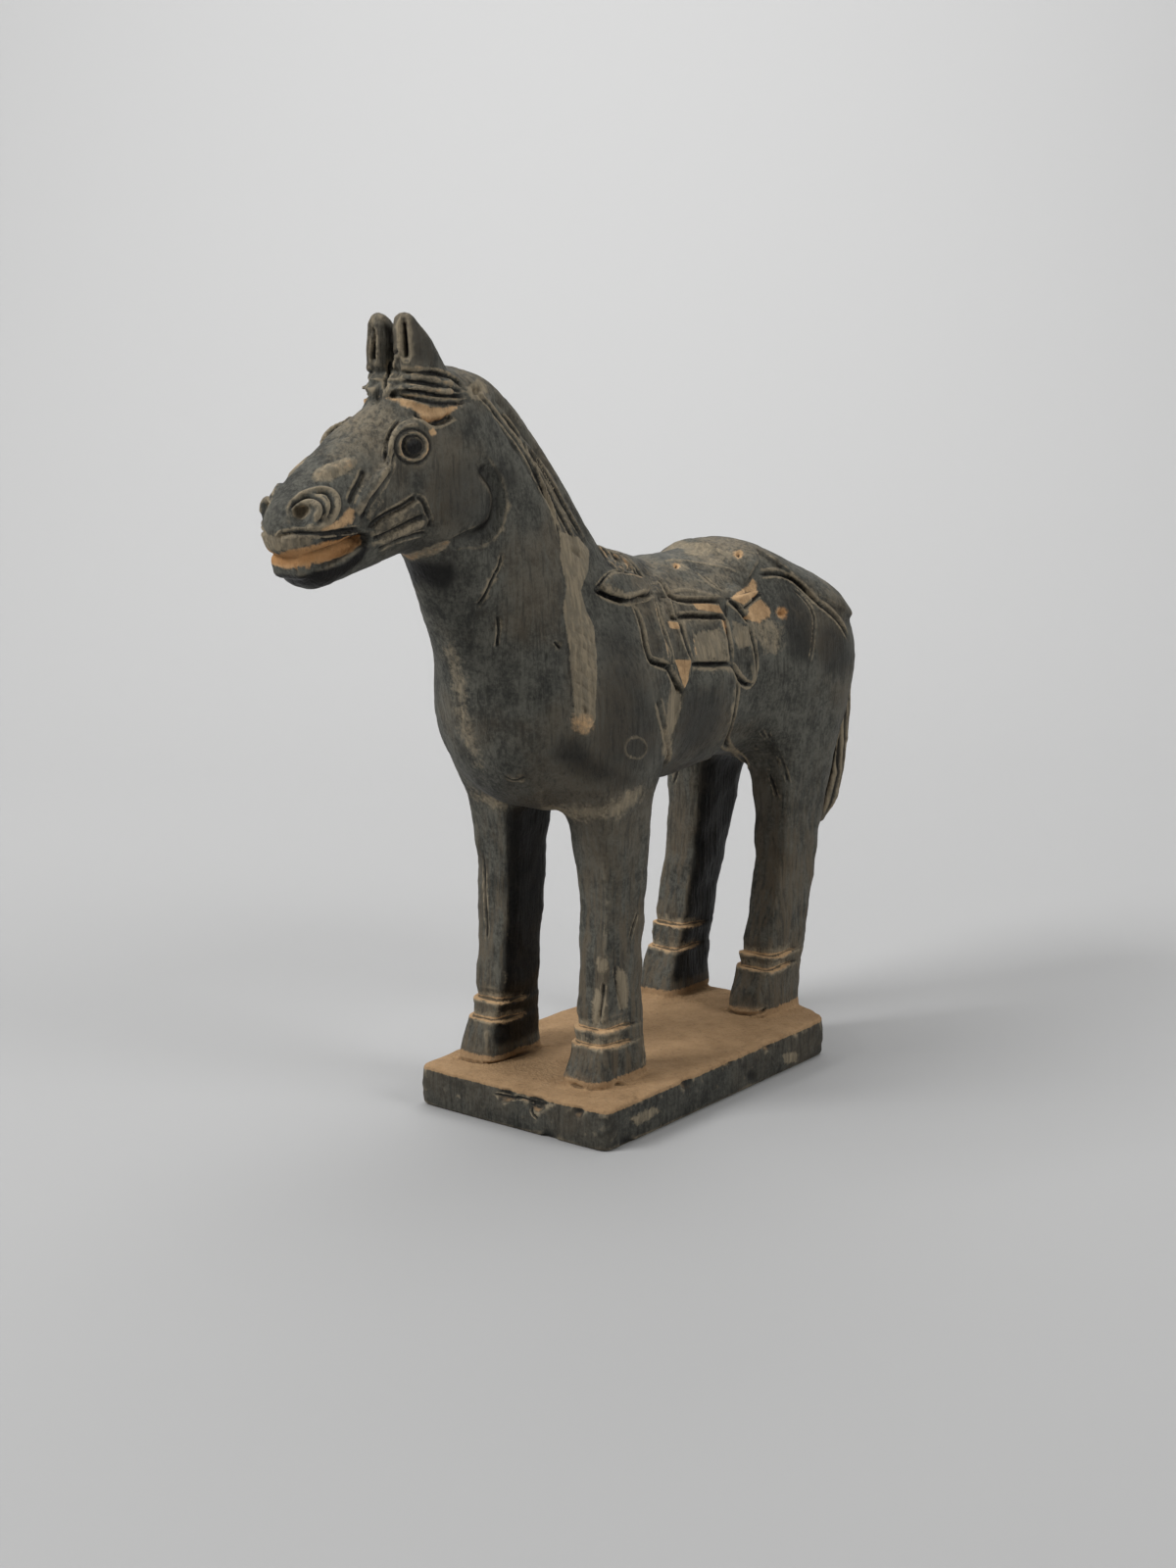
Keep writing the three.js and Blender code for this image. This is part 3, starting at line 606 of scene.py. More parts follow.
# Mane: a thick upright crest, its lower edge marked by a tan line, with long strands drawn down it, that
# ends in a combed tuft over the withers.
MANE_EDGE = [(480, 392), (491, 407), (508, 425), (524, 445), (537, 464), (549, 489), (562, 519), (571, 545)]
STRANDS = [
    [(534, 452), (549, 480), (562, 505), (575, 532), (584, 550)],
    [(541, 460), (556, 486), (570, 514), (583, 540)],
    [(546, 464), (562, 492), (576, 518), (592, 545)],
    [(512, 424), (523, 436), (531, 446)],
]
TUFT_STRANDS = [
    [(609, 558), (616, 565), (624, 577), (631, 584)],
    [(616, 560), (624, 567), (633, 580), (639, 587)],
    [(622, 562), (630, 568), (640, 579), (647, 588)],
    [(629, 564), (638, 572), (648, 584), (655, 592)],
]
HOLE = (487, 398.5)
groove(MANE_EDGE, 2.0, 0.9, lip=0.5, dark=0.3)
ridge([(a + 1, d - 2) for a, d in MANE_EDGE], 1.8, 0.6, tan=0.9)
for line in STRANDS:
    groove(line, 1.5, 1.0, lip=0.35, dark=0.8)
for line in TUFT_STRANDS:
    groove([(a + 3.2, d - 1) for a, d in line], 1.5, 1.0, lip=0.0, dark=1.0)
for line in TUFT_STRANDS:
    ridge(line, 1.3, 0.9, dusty=0.6, tan=1.0)
spot(film, HOLE, 4.0, 1.4)
spot(cut, HOLE, 1.5, 2.4)
# The hole is painted black, as shade.
spot(soot_and_shade, HOLE, 1.3, 1.0)


# Saddle and harness: thin slips of clay laid on the back, outlined with the tool. A tied bow and straps
# hang at the front, a girth runs round the belly, and a crupper lies over the haunches.
BOW = [
    (608, 601), (623, 585), (641, 586), (655, 591), (662, 600), (660, 607), (645, 611), (631, 611),
    (617, 607),
]
FRONT_STRAP = [(647, 610), (667, 609), (674, 640), (686, 680), (680, 680), (661, 673), (653, 636)]
TASSEL = [
    (673, 611), (684, 611), (690, 632), (697, 655), (704, 675), (703, 690), (696, 706), (690, 697),
    (686, 681), (677, 645),
]
BAND = [(686, 612), (733, 615), (739, 628), (690, 627)]
PANEL = [(693, 631), (739, 630), (743, 653), (744, 676), (706, 677), (698, 652)]
FLAP = [
    (741, 614), (764, 606), (772, 640), (772, 680), (768, 696), (761, 699), (753, 692), (744, 677),
    (742, 640),
]
TIE = [(742, 612), (752, 620), (763, 634), (766, 628), (757, 620), (776, 606), (770, 604)]
GIRTH = [
    (706, 680), (746, 680), (751, 705), (747, 735), (737, 760), (722, 775), (676, 784), (686, 745),
    (694, 712),
]
CRUPPER = [(775, 584), (794, 583), (806, 588), (817, 596), (831, 612), (846, 622), (858, 636), (865, 649)]
HAUNCH_LINE = [(808, 600), (822, 612), (831, 630), (830, 650), (826, 674)]
OUTLINES = [
    ([(608, 602), (620, 608), (632, 612), (648, 612), (661, 607)], 2.0, 1.8),
    ([(608, 601), (622, 585), (641, 586)], 1.3, 0.7),
    ([(648, 612), (653, 636), (660.5, 673), (670, 677), (682, 681)], 1.8, 1.5),
    ([(667, 611), (674, 640), (684, 676)], 1.4, 1.0),
    ([(672, 590), (682, 611), (702, 613.5), (720, 613.5), (734, 614)], 1.9, 1.5),
    ([(690, 629), (704, 628.5), (723, 630), (738, 629), (741, 640), (743, 655), (745, 677)], 1.9, 1.5),
    ([(706, 677.5), (723, 678.5), (744, 677)], 1.9, 1.6),
    ([(692, 632), (698, 652), (705, 676)], 1.2, 0.8),
    ([(683, 631), (690, 632.5), (696, 632)], 1.6, 1.3),
    ([(681, 681), (687, 694), (693, 706)], 2.2, 1.9),
    ([(745, 678), (753, 692), (761, 699), (768, 697), (772, 681), (768, 657), (764, 640)], 1.8, 1.4),
    ([(752, 690), (752, 708), (747, 735), (737, 760), (722, 775)], 2.2, 1.5),
    ([(742, 611), (752, 621), (762, 635)], 1.5, 1.1),
    ([(775, 605), (765, 614), (756, 621)], 1.5, 1.1),
]
POMMEL = (697, 556)
POMMEL_LONG, POMMEL_WIDE, POMMEL_HIGH = 5, 15, 1.4
FRONT_ARCH = [(649, 567), (661, 577), (671, 592), (679, 609), (672, 610), (662, 592), (650, 578)]
SADDLE_DUST = [
    [(745, 611), (763, 597), (769, 591), (773, 599), (769, 609), (755, 617)],
    [(759, 631), (763, 620), (776, 611), (787, 622), (788, 628), (774, 636), (765, 634)],
    [(705, 614), (733, 618), (738, 627), (710, 622)],
    [(679, 635), (692, 636), (693, 643), (682, 642)],
    [(686, 673), (704, 674), (698, 704), (692, 690)],
    [(735, 632), (741, 633), (743, 652), (738, 642)],
]
HAUNCH_FILM = [(759, 633), (788, 629), (802, 640), (800, 664), (778, 668), (766, 650)]
FLAP_FILM = [(747, 634), (764, 640), (768, 658), (752, 663), (746, 650)]
STRAP_SHADE = [(650, 613), (663, 612), (669, 640), (676, 668), (664, 671), (657, 640)]
SEAT_FLAKES = [
    [(698, 557), (722, 556), (728, 561), (718, 567), (700, 566)],
    [(724, 571), (738, 572), (737, 576), (726, 575)],
    [(731, 560), (746, 564), (744, 568), (730, 563)],
    [(683, 575), (700, 576), (703, 580), (690, 582)],
]
SEAT_FOLDS = [
    [(678, 607), (690, 602), (706, 602), (722, 607), (742, 609)],
    [(709, 582), (718, 592), (730, 600), (742, 604)],
    [(668, 577), (690, 571), (712, 574), (738, 579), (760, 588)],
]
SEAT_FILM = [(668, 572), (690, 558), (745, 558), (770, 588), (748, 608), (700, 611), (676, 600)]
PANEL_FILM = [(706, 645), (735, 640), (742, 672), (708, 675)]
CRATERS = [((797.5, 625), 2.6, 0.8), ((754, 566), 2.0, 0.9), ((690, 578), 1.6, 0.7)]
HAUNCH_SHADE = [(794, 606), (812, 600), (830, 625), (833, 650), (826, 680), (806, 672), (798, 645)]
RUMP_SHADE = [(834, 636), (850, 632), (866, 648), (872, 668), (866, 690), (840, 690), (832, 665)]

SLIPS = [
    (BOW, 1.3),
    (FRONT_STRAP, 0.7),
    (TASSEL, 0.8),
    (BAND, 0.5),
    (PANEL, 0.4),
    (FLAP, 0.6),
    (TIE, 1.4),
    (GIRTH, 0.4),
]
for outline, high in SLIPS:
    slip(outline, high)
for line, wide, deep in OUTLINES:
    groove(line, wide * 1.15, deep * 1.25, lip=0.35, dark=1.0)
pommel = on_skin([POMMEL])[0]
off = np.hypot((skin[:, 0] - pommel[0] - 2) / POMMEL_LONG, (skin[:, 1] - MID_PLANE) / POMMEL_WIDE)
on_back = skin[:, 2] > pommel[2] - 12
rise[:] = np.maximum(rise, POMMEL_HIGH * np.clip(1 - off**2, 0, 1) * on_back)
EDGE_LINES = [
    [(667, 618), (674, 640), (680, 672)],
    [(648, 622), (654, 645), (659, 668)],
    [(703, 634), (707, 655), (710, 672)],
    [(746, 683), (747, 709), (742, 734), (731, 759)],
    [(624, 585), (641, 587), (655, 592)],
]
for line in EDGE_LINES:
    ridge(line, 1.3, 0.5, dusty=0.62, tan=1.0)
groove([(a, d + 2) for a, d in CRUPPER], 2.2, 1.4, lip=0.5, dark=0.9)
ridge([(a, d - 2) for a, d in CRUPPER], 2.4, 0.6, tan=0.7)
groove(HAUNCH_LINE, 1.4, 0.5, lip=0.4, dark=0.3)
mark(soot_and_shade, FRONT_ARCH, 0.7, soft=2.5)
for outline in SADDLE_DUST:
    mark(dust, outline, 0.95, soft=1.2, both=False)
for outline in SEAT_FLAKES:
    mark(film, outline, 1.0, soft=1.5)
for line in SEAT_FOLDS:
    ridge(line, 1.6, 0.35, tan=0.8)
mark(film, SEAT_FILM, 0.28, soft=8)
mark(film, PANEL_FILM, 0.85, soft=3)
mark(film, FLAP_FILM, 0.85, soft=3)
mark(film, HAUNCH_FILM, 0.6, soft=6)
mark(soot_and_shade, STRAP_SHADE, 0.5, soft=2)
for centre, radius, amount in CRATERS:
    spot(cut, centre, radius * 0.6, 1.5, both=False)
    spot(dust, centre, radius * 1.3, amount, both=False)
mark(soot_and_shade, HAUNCH_SHADE, 0.7, soft=7)
mark(soot_and_shade, RUMP_SHADE, 0.65, soft=8)


# Neck and body: the clay cracked here and there in the fire, a ring was pressed into the point of the
# shoulder, and a strip of tan earth runs from the mane down the side of the neck.
CRACKS = [
    [(511.5, 565), (510, 576), (503, 589), (492.5, 612), (487, 618)],
    [(508, 630), (509, 645), (507, 660)],
    [(515, 792), (524, 797), (535, 793)],
    [(566, 655), (572, 662)],
    [(718, 589), (727, 596), (734, 602)],
]
TAN_STRIP = [
    (571, 543), (590, 548), (601, 562), (600, 582), (593, 603), (598, 622), (606, 640), (609, 682),
    (607, 735), (599, 748), (588, 744), (584, 700), (580, 660), (574, 620), (578, 600), (572, 570),
]
CHEST_FILM = [
    (443, 690), (462, 650), (478, 690), (488, 760), (502, 815), (480, 795), (452, 762), (442, 725),
]
NECK_FILM = [(414, 600), (430, 594), (450, 640), (462, 690), (446, 692), (432, 650)]
SKIRT_FILM = [
    (520, 826), (560, 818), (610, 822), (652, 800), (664, 806), (640, 832), (600, 840), (560, 838),
]
FLANK_SHADE = [(690, 700), (740, 700), (742, 735), (725, 765), (690, 772), (684, 745)]
SHOULDER_SHADE = [
    (606, 650), (630, 630), (648, 642), (662, 690), (678, 740), (674, 775), (650, 792), (618, 792),
    (602, 765), (612, 700),
]
BREAST_SHADE = [
    (568, 752), (590, 750), (612, 768), (640, 783), (660, 796), (642, 806), (606, 802), (580, 790),
    (558, 774),
]
STRIP_END = (594, 739)
STRIP_PITS = [[(583, 560), (592, 567)], [(593, 721), (598, 727)]]
STRIP_STROKES = [[(584, 642 + 13 * n), (595, 647 + 13 * n), (606, 657 + 13 * n)] for n in range(7)]
ARMPIT_FILM = [
    (686, 690), (696, 708), (692, 730), (686, 748), (680, 775), (674, 770), (679, 745), (681, 715),
]
SHOULDER_CREASE = [(671, 712), (677, 742), (680, 762), (676, 782)]
SHOULDER_RING = (648, 763)
RING_RADIUS, RING_SOFT, RING_RAISED = 3.6, 0.6, 0.5
STIFLE_SCRATCHES = [
    [(776, 745), (790, 765), (800, 790)],
    [(783, 748), (797, 772), (805, 800)],
    [(770, 760), (783, 785), (794, 815)],
]
for line in CRACKS:
    groove(line, 0.9, 0.9, lip=0.1, dark=1.0, both=False)
mark(film, TAN_STRIP, 1.0, soft=1.0, both=False)
slip(TAN_STRIP, 0.35, edge=0.8, both=False)
spot(dust, STRIP_END, 5.5, 0.62, both=False)
for line in STRIP_PITS:
    groove(line, 2.4, 1.0, lip=0.1, dark=1.0, both=False)
for line in STRIP_STROKES:
    groove(line, 1.2, 0.4, lip=0.1, dark=0.8, both=False)
for outline, amount in [(CHEST_FILM, 0.6), (NECK_FILM, 0.55), (SKIRT_FILM, 0.65)]:
    mark(film, outline, amount, soft=9)
for outline, amount in [(SHOULDER_SHADE, 0.58), (BREAST_SHADE, 0.74), (FLANK_SHADE, 0.62)]:
    mark(soot_and_shade, outline, amount, soft=12)
mark(film, ARMPIT_FILM, 0.9, soft=3)
groove(SHOULDER_CREASE, 3.5, 1.2, lip=0.5, dark=0.2)
for line in STIFLE_SCRATCHES:
    groove(line, 1.3, 0.5, lip=0.2, dark=0.6)
off = around(SHOULDER_RING)
rise[:] = np.maximum(rise, RING_RAISED * np.exp(-(((off - RING_RADIUS) / RING_SOFT) ** 2)))
film[:] = np.maximum(film, 0.4 * np.exp(-(((off - RING_RADIUS) / 0.8) ** 2)))


# Legs: four posts trimmed square with a knife, each with two slanting cuts across the fetlock that catch
# the dust, over a block-like hoof luted to the slab.
FETLOCK_CUTS = [
    (FORELEG, -1, 34.3), (FORELEG, -1, 29.0), (FORELEG, 1, 36.2), (FORELEG, 1, 29.6),
    (HINDLEG, -1, 37.6), (HINDLEG, -1, 32.6), (HINDLEG, 1, 42.0), (HINDLEG, 1, 33.4),
]
CUT_DEEP, CUT_HIGH, LIP_HIGH, LIP_DEEP = 1.5, 5.0, 0.5, 2.5
ARRISES = [
    [(516, 850), (519, 900), (517, 950), (517, 985), (513, 1020)],
    [(497, 1050), (497, 1070), (497, 1086)],
    [(612, 860), (618, 900), (618, 950), (616, 1000), (612, 1045)],
    [(606, 1072), (602, 1085), (596, 1112)],
]
LEG_CUTS = [
    ([(616, 1003), (614, 1025), (611, 1046)], 1.4, 1.0),
    ([(628, 985), (630, 1010), (636, 1032)], 1.2, 0.6),
    ([(643, 959), (646, 945), (650, 932)], 1.2, 0.5),
    ([(493, 870), (496, 910), (497, 960)], 1.2, 0.4),
    ([(657, 1060), (657.5, 1080), (659, 1104)], 1.6, 0.8),
]
LEG_FILM = [
    [(608, 976), (621, 977), (620, 994), (609, 993)],
    [(629, 985), (639, 990), (643, 1010), (641, 1030), (631, 1028)],
    [(606, 1010), (614, 1008), (612, 1046), (603, 1046)],
]
SLAB_CRACKS = [
    [(653, 1014), (680, 1018), (705, 1022), (725, 1026)],
    [(505, 1116), (520, 1121), (535, 1119), (548, 1128), (560, 1125)],
    [(545, 1125), (542, 1134), (548, 1141)],
    [(535, 1070), (552, 1068), (561, 1067)],
    [(676, 1147), (679, 1156)],
]
CHIPS = [
    ((516, 1117), 3.0, 1.3), ((548, 1126), 3.4, 1.5), ((470, 1101), 2.4, 0.9), ((652, 1119), 2.2, 0.8),
    ((700, 1104), 2.8, 1.0), ((745, 1083), 2.0, 0.8), ((783, 1066), 2.6, 0.9), ((812, 1051), 2.0, 0.7),
    ((676, 1150), 2.6, 1.2), ((590, 1134), 2.4, 0.9), ((768, 1098), 3.0, 0.7), ((640, 1166), 3.0, 0.9),
    ((560, 1160), 3.0, 0.8), ((470, 1128), 3.0, 0.7),
]
SLAB_FILM = [
    [(798, 1076), (812, 1073), (816, 1082), (800, 1087)],
    [(560, 1124), (569, 1125), (568, 1131), (559, 1130)],
    [(640, 1140), (668, 1128), (676, 1134), (650, 1150)],
    [(455, 1112), (470, 1117), (468, 1126), (452, 1121)],
]
HOOF_UNDERCUTS = [
    [(737, 1029), (746, 1033), (757, 1036), (775, 1035), (782, 1029)],
    [(460, 1078), (478, 1083), (496, 1087), (520, 1080), (552, 1070)],
    [(575, 1100), (596, 1113), (630, 1106), (659, 1104)],
]
for leg, flank, cut_height in FETLOCK_CUTS:
    heights, *rest = np.array(leg).T
    middle_x, middle_y, depth, width = (np.interp(skin[:, 2], heights, column) for column in rest)
    u = (skin[:, 0] - middle_x) / depth
    v = (flank * (skin[:, 1] - MID_PLANE) - middle_y) / width
    near = (np.hypot(u, v) < 1.6) & (np.abs(skin[:, 2] - cut_height) < 7)
    over = skin[:, 2] - cut_height - 0.35 * np.sin(3 * u + cut_height)
    worn = near * (0.15 + 0.85 * eased_step(-u, -0.6, 0.3))
    notch = eased_step(over, -0.3, 0.5) * np.clip(1 - over / CUT_HIGH, 0, 1)
    lip = eased_step(-over, -0.2, 0.3) * np.clip(1 + over / LIP_DEEP, 0, 1)
    cut[:] = np.maximum(cut, CUT_DEEP * worn * notch)
    rise[:] = np.maximum(rise, LIP_HIGH * worn * lip)
    dust[:] = np.maximum(dust, worn * np.exp(-((over - 0.4) ** 2)))
    film[:] = np.maximum(film, 0.6 * worn * np.exp(-(((over - 1.5) / 2.5) ** 2)))
# Painted shade: the inner faces of the legs, which face each other, and the underside of the body are
# darkened.
shaded = left_outward[:, 1] * eased_step(-skin[:, 2], -135, -110) * eased_step(skin[:, 2], 16, 24)
soot_and_shade[:] = np.maximum(soot_and_shade, 0.9 * eased_step(shaded, 0.3, 0.9))
shade_under_body = eased_step(-outward[:, 2], 0.5, 0.95) * (skin[:, 2] > 40)
soot_and_shade[:] = np.maximum(soot_and_shade, 0.6 * shade_under_body)
for line in ARRISES:
    ridge(line, 2.0, 0.3, tan=0.3, both=False)
for line, wide, deep in LEG_CUTS:
    groove(line, wide, deep, lip=0.25, dark=0.5, both=False)
for outline in LEG_FILM:
    mark(film, outline, 0.8, soft=2, both=False)
for line in HOOF_UNDERCUTS:
    groove(line, 1.6, 1.2, lip=0.5, dark=0.8, both=False)
for line in SLAB_CRACKS:
    groove(line, 1.0, 0.9, lip=0.2, dark=1.0, both=False)
# Each chip is cut into the slab and painted dark inside, as shade.
for centre, radius, deep in CHIPS:
    spot(cut, centre, radius, deep, both=False)
    spot(soot_and_shade, centre, radius, 0.8, both=False)
for outline in SLAB_FILM:
    mark(film, outline, 0.8, soft=2, both=False)


# Tail: a thick tapering switch that hangs free of the hocks, bundled round and combed into strands from
# root to tip with a pointed tool.
TAIL_HEIGHTS = (77, 95, 119, 141, 157)
TAIL_BACKS = (131, 136, 137.5, 133.5, 127)
TAIL_STRANDS = 17
TAIL_THICKER, STRANDS_DEEP, STRANDS_DARK = 2.4, 1.0, 0.9
tail_x = skin[:, 0] - np.interp(skin[:, 2], TAIL_HEIGHTS, TAIL_BACKS)
tail_y = skin[:, 1] - MID_PLANE
tail = eased_step(tail_x, -14, -10) * eased_step(-np.abs(tail_y), -11, -9)
tail *= eased_step(skin[:, 2], 76, 84) * eased_step(-skin[:, 2], -164, -150)
comb = 0.5 + 0.5 * np.cos(TAIL_STRANDS * np.arctan2(tail_y, tail_x) + 0.03 * skin[:, 2])
rise[:] = np.maximum(rise, TAIL_THICKER * tail)
cut[:] = np.maximum(cut, STRANDS_DEEP * tail * comb**2)
# The grooves between the strands are painted dark, as shade.
soot_and_shade[:] = np.maximum(soot_and_shade, STRANDS_DARK * tail * comb**2)
film[:] = np.maximum(film, 0.85 * tail * (1 - comb))


# The worked skin: the marks above are pressed into the clay, then come the hand's unevenness, knife planes
# on the legs, small lumps and the slab's crumbled edges. The mesh is thinned where it is plain.
TRIANGLES = 195000
height = skin[:, 2] - SLAB_TOP
skin += outward * (rise - cut)[:, None]
figure.data.vertices.foreach_set("co", (skin * MM).ravel())
figure.data.update()


def worked(name, kind, size, depth, group):
    """Displaces a part of the figure along its normals by a pattern of a size and a depth in mm."""
    pattern = bpy.data.textures.new(name, kind)
    pattern.noise_scale = size * MM
    where = {"texture_coords": "LOCAL", "vertex_group": group}
    finish("DISPLACE", texture=pattern, strength=depth * MM, mid_level=0.5, **where)


def weigh(name, weights):
    """Keeps a weight for each point of the figure under a name."""
    group = figure.vertex_groups.new(name=name)
    steps = np.round(np.clip(weights, 0, 1) * 10).astype(int)
    for step in range(1, 11):
        group.add(np.flatnonzero(steps == step).tolist(), step / 10, "REPLACE")


on_slab = eased_step(-height, -2.0, 0.0)
on_legs = eased_step(height, 1, 6) * eased_step(-height, -105, -85)
slab_edge = on_slab * eased_step(height, -13.5, -10.0) * (np.abs(outward[:, 2]) < 0.8)
weigh("slab", on_slab * eased_step(skin[:, 2], 1.0, 4.0))
weigh("horse", 1 - on_slab)
weigh("slab_edge", slab_edge)
weigh("legs", on_legs)
worked("hand_pressing", "CLOUDS", 14, 0.9, "horse")
worked("slab_lumps", "CLOUDS", 12, 0.8, "slab")
worked("knife_planes", "VORONOI", 11, 1.1, "legs")
worked("small_lumps", "CLOUDS", 3, 0.35, "horse")
worked("crumbled_edges", "CLOUDS", 3.5, 0.9, "slab_edge")

# Where the skin bulges it is rubbed, and where it is hollow it is painted darker, as shade: the relief is
# how far each point stands out from the mean of those around it, as a share from 0 to 1.
EASING = 5
RELIEF = 0.22
edges = np.empty(len(figure.data.edges) * 2, int)
figure.data.edges.foreach_get("vertices", edges)
one, other = edges.reshape(-1, 2).T
joined = np.bincount(one, minlength=count) + np.bincount(other, minlength=count)
skin = of_points("co") / MM
even = skin.copy()
for _ in range(EASING):
    total = np.stack(
        [np.bincount(one, axis[other], count) + np.bincount(other, axis[one], count) for axis in even.T], 1
    )
    even = 0.5 * even + 0.5 * total / joined[:, None]
relief = 0.5 + 0.5 * ((skin - even) * of_points("normal")).sum(1) / RELIEF
weigh("plain", 1 - eased_step(np.abs(rise - cut), 0.05, 0.5))

for name, layer in [("dust", dust), ("film", film), ("soot_and_shade", soot_and_shade), ("relief", relief)]:
    stored = figure.data.attributes.new(name, "FLOAT", "POINT")
    stored.data.foreach_set("value", np.clip(layer, 0, 1).astype(np.float32))
faces = len(figure.data.polygons) * 2
finish("DECIMATE", ratio=min(1, TRIANGLES / faces), vertex_group="plain", vertex_group_factor=1e-7)
figure.vertex_groups.clear()


# Fired grey clay: an unglazed, reduction-fired earthenware, matt and slightly burnished where hands and
# tools rubbed it. Ochre loess lies in its hollows and on what faces up. Soot and painted shade darken some
# flanks, the grooves, the hollows and the underside, and the slab's sides are darker.
CLAY_DARK, CLAY_PALE, CLAY_BROWN = linear("343430"), linear("605f57"), linear("615748")
NEAR_BLACK, FILM_TAN = linear("100f0e"), linear("918570")
OCHRE, OCHRE_DEEP, OCHRE_RED = linear("ceab82"), linear("8f7354"), linear("a06c38")

clay = new_material("fired_grey_clay")
tree = clay.node_tree
place = node(tree, "TexCoord", output="Object")
level = node(tree, "SeparateXYZ", [place], output="Z")
upward = node(tree, "SeparateXYZ", [node(tree, "NewGeometry", output="Normal")], output="Z")
dust_layer, film_layer, soot_and_shade_layer, relief_layer = [
    node(tree, "Attribute", output="Fac", attribute_name=name)
    for name in ("dust", "film", "soot_and_shade", "relief")
]

# Each pattern of the clay: the size of its patches in mm, its detail, its roughness, and how it is
# stretched and turned. The last two are drawn out into brush strokes.
PATTERNS = [
    (9, 6, 0.7, (1, 1, 1), (0, 0, 0)),
    (38, 4, 0.6, (1, 1, 1), (0, 0, 0)),
    (1.3, 4, 0.7, (1, 1, 1), (0, 0, 0)),
    (1.5, 3, 0.6, (1, 1, 0.1), (0.5, -0.6, 0.3)),
    (2.5, 4, 0.6, (1, 1, 0.12), (0, 0, 0)),
]
patterns = []
for size, detail, rough, stretch, turn in PATTERNS:
    scale = [share / (size * MM) for share in stretch]
    laid = node(tree, "Mapping", {"Vector": place, "Scale": scale, "Rotation": turn})
    inputs = {"Vector": laid, "Scale": 1.0, "Detail": detail, "Roughness": rough}
    patterns.append(node(tree, "TexNoise", inputs, output="Fac"))
mottle, broad, fine, streaks, upright = patterns
uneven = node(tree, "Math", [mottle, 0.6], operation="MULTIPLY")
uneven = node(tree, "Math", [fine, 0.4, uneven], operation="MULTIPLY_ADD")

# Where each tint lies: each value that it follows, where on it the tint begins and where it is full, and
# its share at both. A tint that follows more than one value lies where all of them let it.
TINTS = {
    "pale grains": [(uneven, 0.38, 0.62, 0, 1)],
    "brown patches": [(broad, 0.45, 0.65, 0, 0.5)],
    "brown legs": [
        (level, 130 * MM, 60 * MM, 0, 1),
        (level, 15 * MM, 20 * MM, 0, 1),
        (upright, 0.4, 0.6, 0, 0.75),
    ],
    "dark strokes": [(streaks, 0.47, 0.33, 0, 0.55)],
    "pale strokes": [(streaks, 0.53, 0.68, 0, 0.4)],
    "slab sides": [(level, 16 * MM, 14 * MM, 0, 0.3)],
    # Painted shade: the hollows are darkened.
    "shaded hollows": [(relief_layer, 0.45, 0.1, 0, 0.8)],
    "any darkening": [(soot_and_shade_layer, 0, 0.15, 0, 1)],
    "crests": [(relief_layer, 0.58, 0.9, 0, 1), (uneven, 0.4, 0.55, 0.25, 0.9)],
    "brushed top": [
        (upward, 0.2, 0.9, 0, 1),
        (broad, 0.4, 0.6, 0, 1),
        (level, 30 * MM, 100 * MM, 0, 1),
        (streaks, 0.4, 0.6, 0.1, 0.5),
    ],
    "film strokes": [(streaks, 0.35, 0.6, 0.95, 0.5)],
    "slab top": [(upward, 0.25, 0.75, 0, 1), (level, 22 * MM, 16.5 * MM, 0, 1)],
    "slab rim": [(level, 20.5 * MM, 15.5 * MM, 0, 1), (level, 12.5 * MM, 14.5 * MM, 0, 1)],
    "dust grains": [(fine, 0.35, 0.5, 0.8, 1)],
    "pale dust": [(mottle, 0.2, 0.75, 0, 1)],
    # Painted shade: the dust in the hollows is darkened to brown.
    "dust shaded in cracks": [(relief_layer, 0.3, 0, 0, 1)],
    "head": [(level, 150 * MM, 170 * MM, 0, 1)],
    "slab": [(level, 30 * MM, 16 * MM, 0, 0.65)],
}
tint = {}
for name, ranges in TINTS.items():
    for ends in ranges:
        part = node(tree, "MapRange", ends, interpolation_type="SMOOTHSTEP")
        tint[name] = node(tree, "Math", [tint[name], part], operation="MULTIPLY") if name in tint else part


def brushed_on(layer, spread, low, high):
    """Gives the soft border of a layer the broken outline of dirt that was brushed on."""
    shift = node(tree, "Math", [layer, spread / 2], operation="SUBTRACT")
    broken = node(tree, "Math", [uneven, spread, shift], operation="MULTIPLY_ADD")
    return node(tree, "MapRange", [broken, low, high, 0, 1], interpolation_type="SMOOTHSTEP")


# Soot and painted shade, together with the hollows painted dark as shade, are mixed towards near black.
sooty_and_shaded = brushed_on(soot_and_shade_layer, 1.3, 0.18, 1.06)
sooty_and_shaded = node(tree, "Math", [sooty_and_shaded, tint["any darkening"]], operation="MULTIPLY")
dark = node(tree, "Math", [sooty_and_shaded, tint["shaded hollows"]], operation="MAXIMUM")

bare = node(tree, "Math", [1, soot_and_shade_layer], operation="SUBTRACT")
crest = node(tree, "Math", [tint["crests"], bare], operation="MULTIPLY")
filmy = brushed_on(film_layer, 2.0, 0.3, 0.7)
filmy = node(tree, "Math", [filmy, tint["film strokes"]], operation="MULTIPLY")
filmy = node(tree, "Math", [filmy, crest], operation="MAXIMUM")
filmy = node(tree, "Math", [filmy, tint["brushed top"]], operation="MAXIMUM")

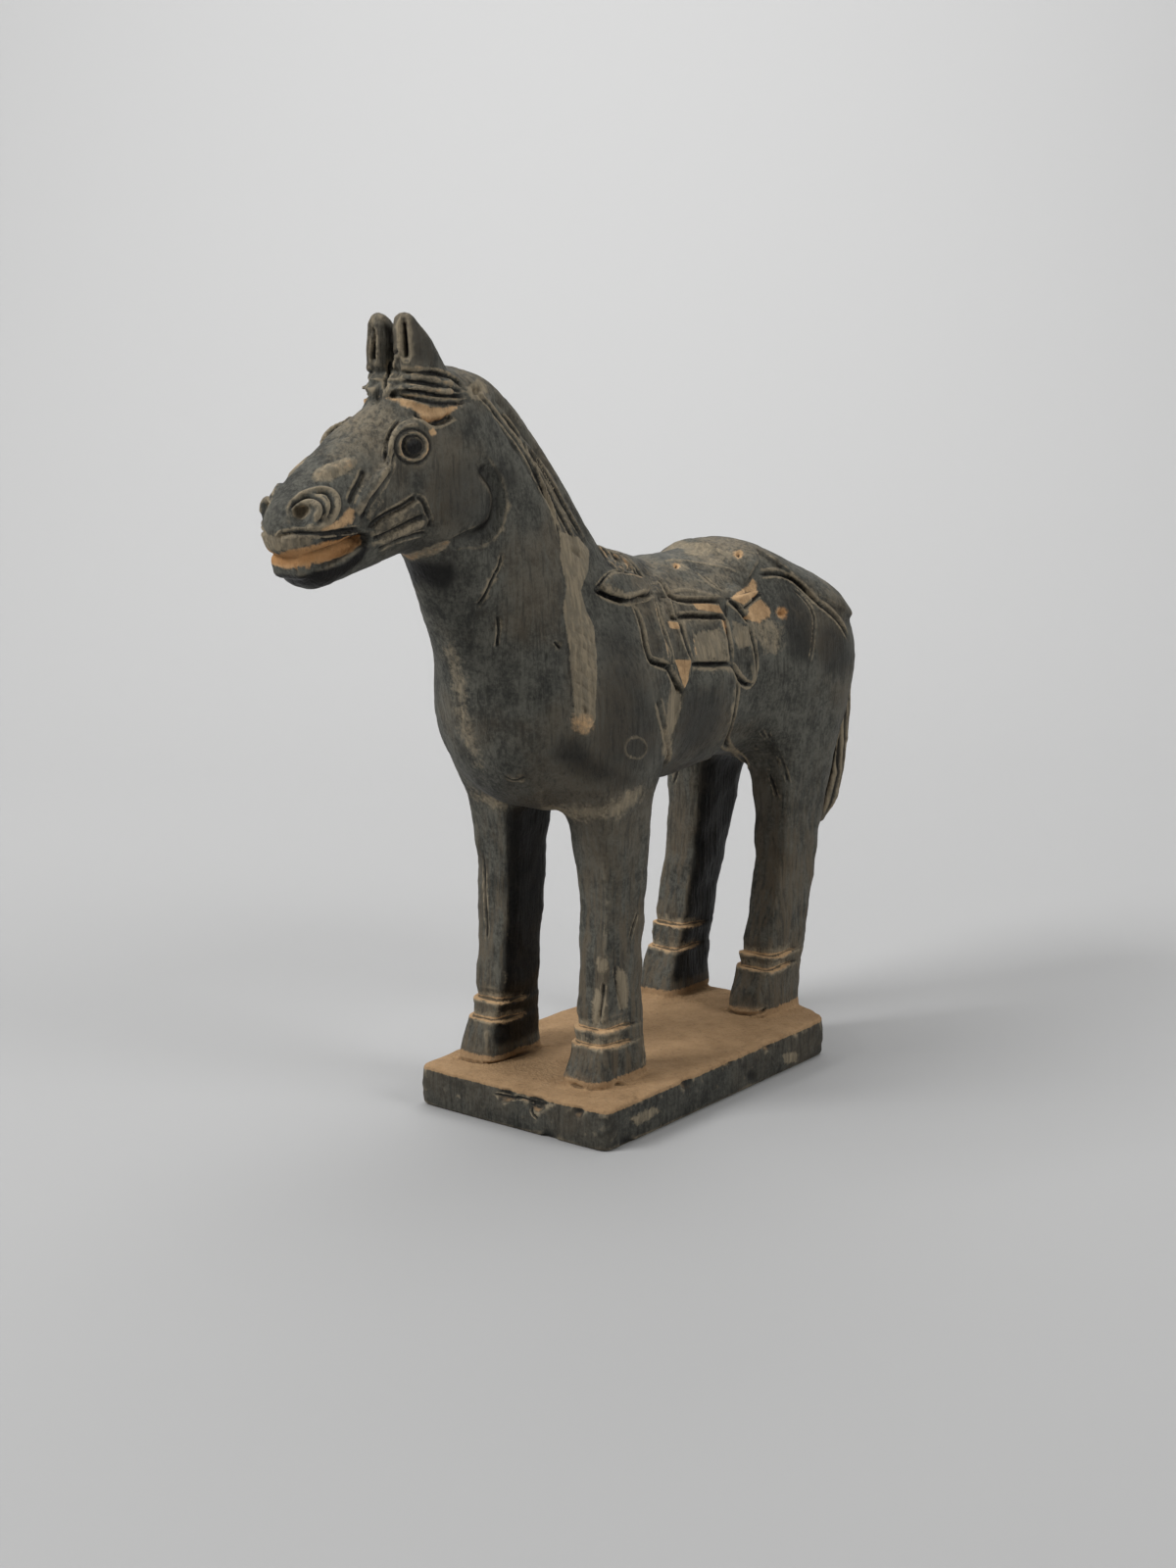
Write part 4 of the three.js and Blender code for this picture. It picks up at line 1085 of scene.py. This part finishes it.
rim = node(tree, "Math", [brushed_on(tint["slab rim"], 1.5, 0.4, 0.6), 0.9], operation="MULTIPLY")
slab_dust = node(tree, "Math", [tint["slab top"], rim], operation="MAXIMUM")
dusty = brushed_on(dust_layer, 1.5, 0.28, 0.72)
dusty = node(tree, "Math", [dusty, slab_dust], operation="MAXIMUM", use_clamp=True)
dusty = node(tree, "Math", [dusty, tint["dust grains"]], operation="MULTIPLY")
reddish = node(tree, "Math", [soot_and_shade_layer, tint["head"]], operation="MULTIPLY")

# The colours lie over each other: first those of the dust itself, then the clay, its soot and painted
# shade, the tan film and the dust on top
ochre = OCHRE_DEEP
for share, colour in [
    (tint["pale dust"], OCHRE),
    (tint["dust shaded in cracks"], CLAY_BROWN),
    (reddish, OCHRE_RED),
    (tint["slab"], OCHRE_DEEP),
]:
    ochre = node(tree, "Mix", {0: share, 6: ochre, 7: colour}, output=2, data_type="RGBA")
coat = CLAY_DARK
for share, colour in [
    (tint["pale grains"], CLAY_PALE),
    (tint["brown patches"], CLAY_BROWN),
    (tint["brown legs"], CLAY_BROWN),
    (tint["dark strokes"], CLAY_DARK),
    (tint["pale strokes"], CLAY_PALE),
    (tint["slab sides"], NEAR_BLACK),
    (dark, NEAR_BLACK),
    (filmy, FILM_TAN),
    (dusty, ochre),
]:
    coat = node(tree, "Mix", {0: share, 6: coat, 7: colour}, output=2, data_type="RGBA")

# Grit and brush strokes stand out by a fraction of a millimetre. Dusty places are the roughest, and soot
# and painted shade have a slight shine.
grit = node(tree, "Bump", {"Strength": 0.55, "Distance": 0.35 * MM, "Height": fine})
strokes = node(tree, "Bump", {"Strength": 1.0, "Distance": 0.7 * MM, "Height": streaks, "Normal": grit})
rough = node(tree, "Math", [dusty, filmy], operation="MAXIMUM")
rough = node(tree, "Math", [fine, 0.3, rough], operation="MULTIPLY_ADD")
rough = node(tree, "MapRange", [rough, 0, 1, 0.6, 0.95], interpolation_type="SMOOTHSTEP")
rough = node(tree, "Math", [sooty_and_shaded, -0.2, rough], operation="MULTIPLY_ADD")
inputs = {"Base Color": coat, "Roughness": rough, "Specular IOR Level": 0.18, "Normal": strokes}
surface = node(tree, "BsdfPrincipled", inputs)
node(tree, "OutputMaterial", {"Surface": surface})
figure.data.materials.append(clay)

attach(figure, "root")
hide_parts("horse_on_plinth")
